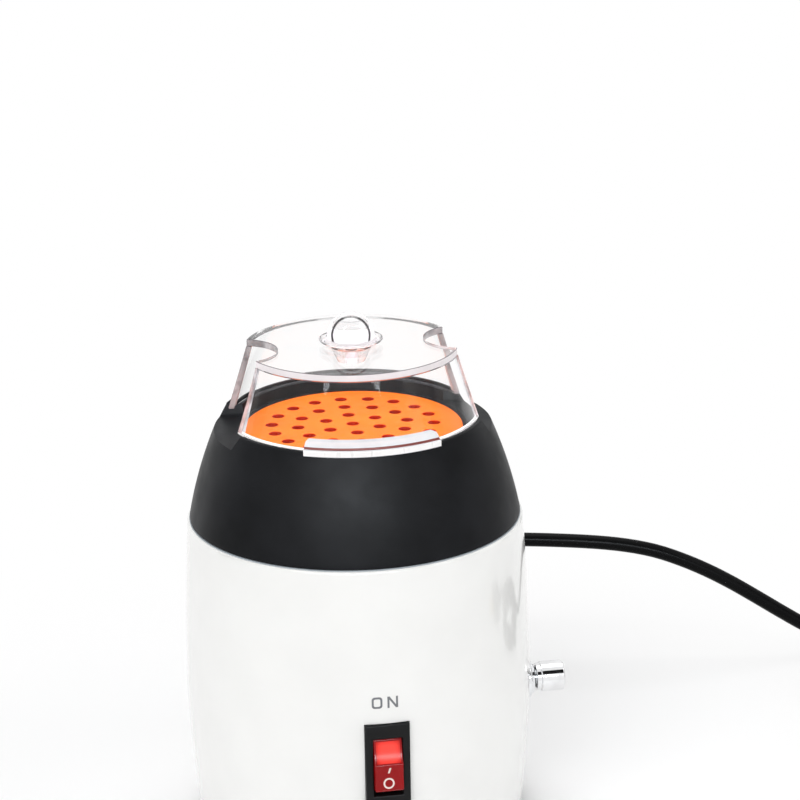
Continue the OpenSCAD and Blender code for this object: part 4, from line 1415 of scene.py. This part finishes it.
@dataclass
class MainsCord(Assembly):
    """The mains cord: strain relief, free stretch, put-away coil, tie and plug."""

    radius: float = 3.0
    gland_z: float = 57.0
    seat_y: float = 63.6
    tip_y: float = 90.0
    route: tuple[Point, ...] = (
        (0, 90, 57), (0, 97, 57), (1.2, 104, 57), (5, 111.5, 57), (11.5, 118, 57), (20.5, 122.8, 57),
        (32, 125, 57), (46, 124.2, 57), (61, 122.2, 57), (76, 120, 56.8), (91, 118, 56.3), (106, 115.7, 55.5),
        (121, 113.4, 54.3), (134, 111.5, 52.5), (146, 109.7, 49.7), (157, 108, 45.6), (168, 106.4, 40.4),
        (179, 104.7, 34.2), (190, 103, 27.2), (201, 101.3, 20), (212, 99.7, 13.2), (224, 97.9, 7.7),
        (237, 96, 4.3), (250, 94.1, 3), (256, 93.2, 3))
    coil_r: float = 42.5
    coil_step: float = 6.6
    coil_turns: float = 5 + 81.6 / 360
    rings: int = 40
    tail: float = 36.0
    tie_angle: float = 170.0
    tie_lift: float = 1.0

    def __post_init__(self) -> None:
        """Works out the coil's place from the route's end."""
        last, before = (Vector(self.route[k]) for k in (-1, -2))
        self.heading = (last - before).normalized()
        self.centre = last + 2 * self.radius * self.heading + self.coil_r * Vector(
            (self.heading.y, -self.heading.x, 0))
        self.start = math.degrees(math.atan2(-self.heading.x, self.heading.y)) + 180
        self.inward = (self.coil_turns - 0.5) / 2

    def coil_radius(self, turn: float) -> float:
        """Returns the radius of the cord's middle after some turns: in below, out above."""
        if turn < self.inward:
            return self.coil_r - self.coil_step * turn
        if turn < self.inward + 0.5:
            back = turn - self.inward
            return self.coil_r - self.coil_step * self.inward + self.coil_step * (2 * back**2 - back)
        return self.coil_r - self.coil_step * (self.coil_turns - turn)

    def coil_point(self, turn: float) -> Vector:
        """Returns a point of the coil after some turns."""
        angle = math.radians(self.start - 360 * turn)
        rise = min(1.0, max(0.0, (turn - self.inward) / 0.5))
        lift = self.tie_lift * max(0.0, math.cos(angle - math.radians(self.tie_angle))) ** 6
        height = self.radius + self.coil_step * rise * rise * (3 - 2 * rise) + lift
        flat = self.coil_radius(turn) * Vector((math.cos(angle), math.sin(angle), 0))
        return Vector((self.centre.x, self.centre.y, height)) + flat

    def tail_way(self) -> Vector:
        """Returns the direction in which the cord leaves the coil."""
        angle = math.radians(self.start - 360 * self.coil_turns)
        return Vector((math.sin(angle), -math.cos(angle), 0)).normalized()

    def path(self) -> list[Vector]:
        """Returns the cord's middle line: the route eased through its points, then the coil and the tail."""
        route = [Vector(p) for p in self.route]
        eased = []
        for k in range(len(route) - 1):
            before, after = route[max(k - 1, 0)], route[min(k + 2, len(route) - 1)]
            a, b = route[k], route[k + 1]
            for step in range(3):
                t = step / 3
                eased.append(0.5 * (2 * a + (b - before) * t + (2 * before - 5 * a + 4 * b - after) * t * t
                                    + (3 * a - before - 3 * b + after) * t**3))
        count = math.ceil(self.coil_turns * self.rings)
        coil = [self.coil_point(self.coil_turns * k / count) for k in range(count + 1)]
        way = self.tail_way()
        return eased + [route[-1]] + coil + [coil[-1] + way * self.tail * f for f in (0.25, 0.5, 0.75, 1)]

    def build(self) -> None:
        """Makes the cord and what is on it."""
        plug = self.plug()
        tie = self.tie()
        blades = self.frame["nodes"]["plug_blades"]
        self.paint.dress(blades, "brass_blade")
        self.boot()
        self.paint.dress(self.frame["nodes"]["gland_clip"], "black_rubber")
        points = self.path()
        curve = bpy.data.curves.new("mains_cord", "CURVE")
        curve.dimensions = "3D"
        curve.bevel_depth = self.radius * MM
        curve.bevel_resolution = 5
        curve.use_fill_caps = True
        line = curve.splines.new("POLY")
        line.points.add(len(points) - 1)
        for held, point in zip(line.points, points):
            held.co = (*(point * MM), 1)
        line.use_smooth = True
        cord = bpy.data.objects.new("mains_cord", curve)
        bpy.context.scene.collection.objects.link(cord)
        self.finish(cord, "housing", "cord_sheath", "cord_sheath", ["power_cord", "cord_coil"])

    def boot(self) -> bpy.types.Object:
        """Makes the strain relief: a flange on the barrel and a ribbed taper.

        Returns:
            The piece.
        """
        seat, tip = self.seat_y, self.tip_y
        profile = [(0, 57.4), (5.6, 57.4), (5.8, 57.6), (5.8, seat), (7.4, seat), (7.6, seat + 0.25),
                   (7.6, seat + 1.5), (7.3, seat + 1.85), (6.8, seat + 2.0), (6.3, seat + 2.5)]
        ribs, pitch = 5, 4.2
        for k in range(ribs):
            y, r = seat + 3 + k * pitch, 6 - k * 0.4
            profile += [(r - 0.1, y), (r, y + 0.35), (r - 0.05, y + 2.3), (r - 0.35, y + 2.6),
                        (r - 1.05, y + 2.85), (r - 1.15, y + 3.6), (r - 0.7, y + 3.95)]
        profile += [(4.05, seat + 3 + ribs * pitch), (3.95, tip - 0.5), (3.7, tip), (0, tip)]
        boot = Bench.lathe("cord_boot", profile, 64, Axis.Y, (0, 0, self.gland_z))
        Bench.smooth(boot, 35)
        return self.finish(boot, "housing", "black_rubber", "black_rubber", ["cord_gland"])

    def tie(self) -> bpy.types.Object:
        """Makes the strap round the coil's bundle.

        Returns:
            The piece.
        """
        first = (self.start + 360 - self.tie_angle) / 360
        inner = self.coil_radius(first + 2) - self.radius - 0.5
        outer = self.coil_radius(first + 4) + self.radius + 0.5
        floor, roof, band = self.tie_lift - 0.2, self.tie_lift + 2 * self.radius + self.coil_step + 0.4, 0.8
        strap = Bench.box("coil_strap", (inner - band, -4, floor - band), (outer + band, 4, roof + band))
        hollow = Bench.box("hollow", (inner, -6, floor), (outer, 6, roof))
        for shape, radius in ((strap, 2.6), (hollow, 1.9)):
            Bench.round_along(shape, Axis.Y, radius)
        Bench.cut(strap, hollow)
        Bench.bevel(strap, 0.2, 2, 50)
        strap.data.transform(Matrix.Translation(Vector((self.centre.x, self.centre.y, 0)) * MM)
                             @ Matrix.Rotation(math.radians(self.tie_angle), 4, "Z"))
        Bench.smooth(strap, 40)
        return self.finish(strap, "housing", "black_rubber", "black_rubber", ["cord_tie"])

    def plug(self) -> bpy.types.Object:
        """Makes the moulded plug with its grips and its ribbed tail.

        Returns:
            The piece.
        """
        start = self.path()[-1]
        high = 2 * start.z
        tail = [(0, 0), (3.6, 0), (3.8, 0.3), (4.2, 2.8), (3.7, 3.2), (3.7, 3.7), (4.5, 6.8), (4.0, 7.2),
                (4.0, 7.7), (4.9, 10.8), (4.5, 11.2), (4.6, 12), (6.2, 16.6), (0, 16.6)]
        taper = Bench.lathe("plug_moulding", tail, 48)
        body = Bench.box("body", (-13, -high / 2, 16), (13, high / 2, 46))
        Bench.round_along(body, Axis.Z, 5, 8)
        Bench.bevel(body, 1.6, 4, 50)
        grooves = [Bench.box("groove", (x - 3, -6, z - 0.6), (x + 3, 6, z + 0.6))
                   for x in (-15.4, 15.4) for z in (24, 27, 30, 33)]
        Bench.cut(body, Bench.gather("grooves", grooves))
        Bench.fuse(body, taper)
        way = self.tail_way()
        lying = Matrix.Rotation(math.pi / 2, 4, "X")
        turn = Matrix.Rotation(math.atan2(way.y, way.x) + math.pi / 2, 4, "Z")
        body.data.transform(Matrix.Translation(start * MM) @ turn @ lying)
        body.name = "plug_moulding"
        Bench.smooth(body, 30)
        return self.finish(body, "housing", "cord_sheath", "cord_sheath", ["plug_body"])


@dataclass
class Insides(Assembly):
    """The parts under the collar and in the barrel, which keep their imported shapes."""

    finishes: tuple[tuple[str, str], ...] = (
        ("collar_screws", "zinc_steel"), ("heat_duct", "tinplate"), ("duct_screws", "zinc_steel"),
        ("insulation_sleeve", "ceramic_felt"), ("mica_cross", "mica_board"),
        ("heater_winding", "heater_wire"), ("thermal_cutout", "tinplate"), ("thermal_fuse", "pale_plastic"),
        ("fan_housing", "dark_plastic"), ("housing_screws", "zinc_steel"), ("fan_motor", "motor_steel"),
        ("motor_screws", "zinc_steel"), ("motor_shaft", "zinc_steel"), ("fan_impeller", "pale_plastic"),
        ("base_plate", "dark_plastic"), ("base_screws", "zinc_steel"), ("foot_ring", "black_rubber"),
        ("terminal_block", "pale_plastic"), ("wiring", "wire_sheath"), ("control_body", "dark_plastic"),
        ("control_shaft", "zinc_steel"))

    def build(self) -> None:
        """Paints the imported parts."""
        for node, finish in self.finishes:
            self.paint.dress(self.frame["nodes"][node], finish)


# ------------------------------------------------------------------ studio


@dataclass
class Studio:
    """The white table, the soft lamps and the camera."""

    azimuth: float = -8.5
    elevation: float = 20.23
    distance_mm: float = 926.98
    aim_z_mm: float = 120.0
    aim_px: Pair = (354.97, 509.14)
    focal_px: float = 2500.0
    image_px: float = 800.0
    roll: float = 1.39
    fade: Pair = (0.09, 0.3)
    plain: float = 0.6
    lamps: tuple[tuple[str, Point, Point, Pair, float], ...] = (
        ("key", (-0.65, -0.95, 1.2), (0, 0, 0.1), (1.0, 1.0), 8.8),
        ("fill", (1.1, -0.6, 0.8), (0, 0, 0.1), (0.8, 1.0), 3),
        ("top", (0.1, 0.5, 1.5), (0, 0, 0.1), (1.2, 0.8), 6))
    cards: tuple[tuple[str, Point, Point, Pair], ...] = (
        ("dark_card_front", (0.1, -0.82, 0.98), (0.07, 0, 0.05), (1.5, 0.62)),
        ("dark_card_side", (0.85, -0.35, 0.35), (0, 0, 0.1), (0.35, 0.6)),
        ("dark_card_right", (0.9, 0.25, 0.12), (0, 0, 0.1), (0.16, 0.5)),
        ("dark_card_left", (-0.9, 0.2, 0.2), (0, 0, 0.1), (0.2, 0.6)),
        ("dark_card_rear_right", (0.33, 0.31, 0.2), (0, 0, 0.2), (0.03, 0.4)))

    def camera(self) -> None:
        """Sets the camera where the photograph was taken from."""
        a, e = math.radians(self.azimuth), math.radians(self.elevation)
        back = Vector((math.sin(a) * math.cos(e), -math.cos(a) * math.cos(e), math.sin(e)))
        right = Vector((math.cos(a), math.sin(a), 0))
        ahead = -back
        up = right.cross(ahead)
        middle = self.image_px / 2
        off_x, off_y = self.aim_px[0] - middle, middle - self.aim_px[1]
        sight = Vector((off_x / self.focal_px, off_y / self.focal_px, 1))
        lean = Vector((0, 0, 1)).rotation_difference(sight.normalized()).to_matrix()
        turned = lean @ Matrix.Rotation(math.radians(self.roll), 3, "Z") @ Matrix((right, up, ahead))
        axes = Matrix((turned[0], turned[1], -turned[2])).transposed()
        data = bpy.data.cameras.new("camera")
        data.lens = self.focal_px / self.image_px * data.sensor_width
        data.clip_start, data.clip_end = 0.01, 50
        camera = bpy.data.objects.new("camera", data)
        bpy.context.scene.collection.objects.link(camera)
        place = Vector((0, 0, self.aim_z_mm)) * MM + back * self.distance_mm * MM
        camera.matrix_world = Matrix.Translation(place) @ axes.to_4x4()
        bpy.context.scene.camera = camera

    def lamp(self, name: str, place: Point, aim: Point, size: Pair, power: float) -> bpy.types.Object:
        """Adds a soft lamp.

        Args:
            name: The lamp's name.
            place: Its place in metres.
            aim: The point that it faces.
            size: Its width and height in metres.
            power: Its power in watts.

        Returns:
            The lamp.
        """
        data = bpy.data.lights.new(name, "AREA")
        data.shape = "RECTANGLE"
        data.size, data.size_y = size
        data.energy = power
        lamp = bpy.data.objects.new(name, data)
        lamp.location = place
        lamp.rotation_euler = (Vector(aim) - Vector(place)).to_track_quat("-Z", "Y").to_euler()
        bpy.context.scene.collection.objects.link(lamp)
        return lamp

    def card(self, name: str, place: Point, aim: Point, size: Pair) -> None:
        """Adds a black card that is seen in reflections only, for the dark lines in metal and gloss.

        Args:
            name: The card's name.
            place: Its place in metres.
            aim: The point that it faces.
            size: Its width and height in metres.
        """
        Bench.clear_selection()
        bpy.ops.mesh.primitive_plane_add(size=1)
        card = bpy.context.object
        card.name = name
        card.scale = (*size, 1)
        card.location = place
        card.rotation_euler = (Vector(aim) - Vector(place)).to_track_quat("Z", "Y").to_euler()
        card.visible_camera = card.visible_diffuse = card.visible_shadow = card.visible_transmission = False
        black = Shading(name, Base_Color=(0.01, 0.01, 0.01), Specular_IOR_Level=0.0)
        card.data.materials.append(black.material)

    def table(self) -> None:
        """Adds the white table that fades into the white world."""
        Bench.clear_selection()
        bpy.ops.mesh.primitive_plane_add(size=8, location=(0, 0, -0.0003))
        table = bpy.context.object
        table.name = "table"
        s = Shading("table_white", Base_Color=(0.95, 0.95, 0.953), Roughness=0.6, Specular_IOR_Level=0.2)
        length = s.node("VectorMath", operation="LENGTH")
        s.links.new(s.place, length.inputs[0])
        near, far = self.fade
        fade = s.node("MapRange", {"From Min": near, "From Max": far}, interpolation_type="SMOOTHSTEP")
        s.links.new(length.outputs["Value"], fade.inputs["Value"])
        white = s.node("Emission", {"Color": (1, 1, 1, 1)})
        s.blend(s.combine("MULTIPLY", self.seen(s.material.node_tree), fade.outputs["Result"]), white)
        table.data.materials.append(s.material)

    @staticmethod
    def seen(tree: bpy.types.NodeTree) -> bpy.types.NodeSocket:
        """Adds what tells a ray from the camera, a mirror or a clear piece from one that only lights.

        Args:
            tree: The node tree.

        Returns:
            A socket that is 1 for such a ray.
        """
        path = tree.nodes.new("ShaderNodeLightPath")
        found = path.outputs["Is Camera Ray"]
        for kind in ("Is Glossy Ray", "Is Transmission Ray"):
            either = tree.nodes.new("ShaderNodeMath")
            either.operation = "MAXIMUM"
            tree.links.new(found, either.inputs[0])
            tree.links.new(path.outputs[kind], either.inputs[1])
            found = either.outputs[0]
        return found

    def world(self) -> None:
        """Makes a white world: full white where it is seen, plain where it only lights."""
        world = bpy.data.worlds.new("white")
        bpy.context.scene.world = world
        world.use_nodes = True
        tree = world.node_tree
        tree.nodes.clear()
        mix = tree.nodes.new("ShaderNodeMixShader")
        tree.links.new(self.seen(tree), mix.inputs["Fac"])
        for socket, strength in ((1, self.plain), (2, 1.0)):
            background = tree.nodes.new("ShaderNodeBackground")
            background.inputs["Color"].default_value = (1, 1, 1, 1)
            background.inputs["Strength"].default_value = strength
            tree.links.new(background.outputs[0], mix.inputs[socket])
        output = tree.nodes.new("ShaderNodeOutputWorld")
        tree.links.new(mix.outputs[0], output.inputs["Surface"])

    def build(self) -> None:
        """Sets up the table, the world, the lamps and the cards."""
        self.table()
        self.world()
        for lamp in self.lamps:
            self.lamp(*lamp)
        glint = self.lamp("glint", (-0.22, -1.43, 0.72), (0, 0, 0.14), (1.6, 0.2), 30)
        glint.visible_diffuse = glint.visible_transmission = False
        glint.data.color = (0.88, 0.94, 1.0)
        for card in self.cards:
            self.card(*card)
        bpy.context.scene.view_settings.view_transform = "Standard"


def main() -> None:
    """Builds the warmer's pieces round the frame, the camera and the cord first."""
    logging.basicConfig(level=logging.INFO, format="%(name)s: %(message)s")
    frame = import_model()
    studio = Studio()
    studio.camera()
    paint = Paintbox()
    MainsCord(frame, paint).build()
    for part in (Barrel, Collar, Lid, Switch, HeatControl, Insides):
        log.info("building %s", part.__name__)
        part(frame, paint).build()
    studio.build()


if __name__ == "__main__":
    main()
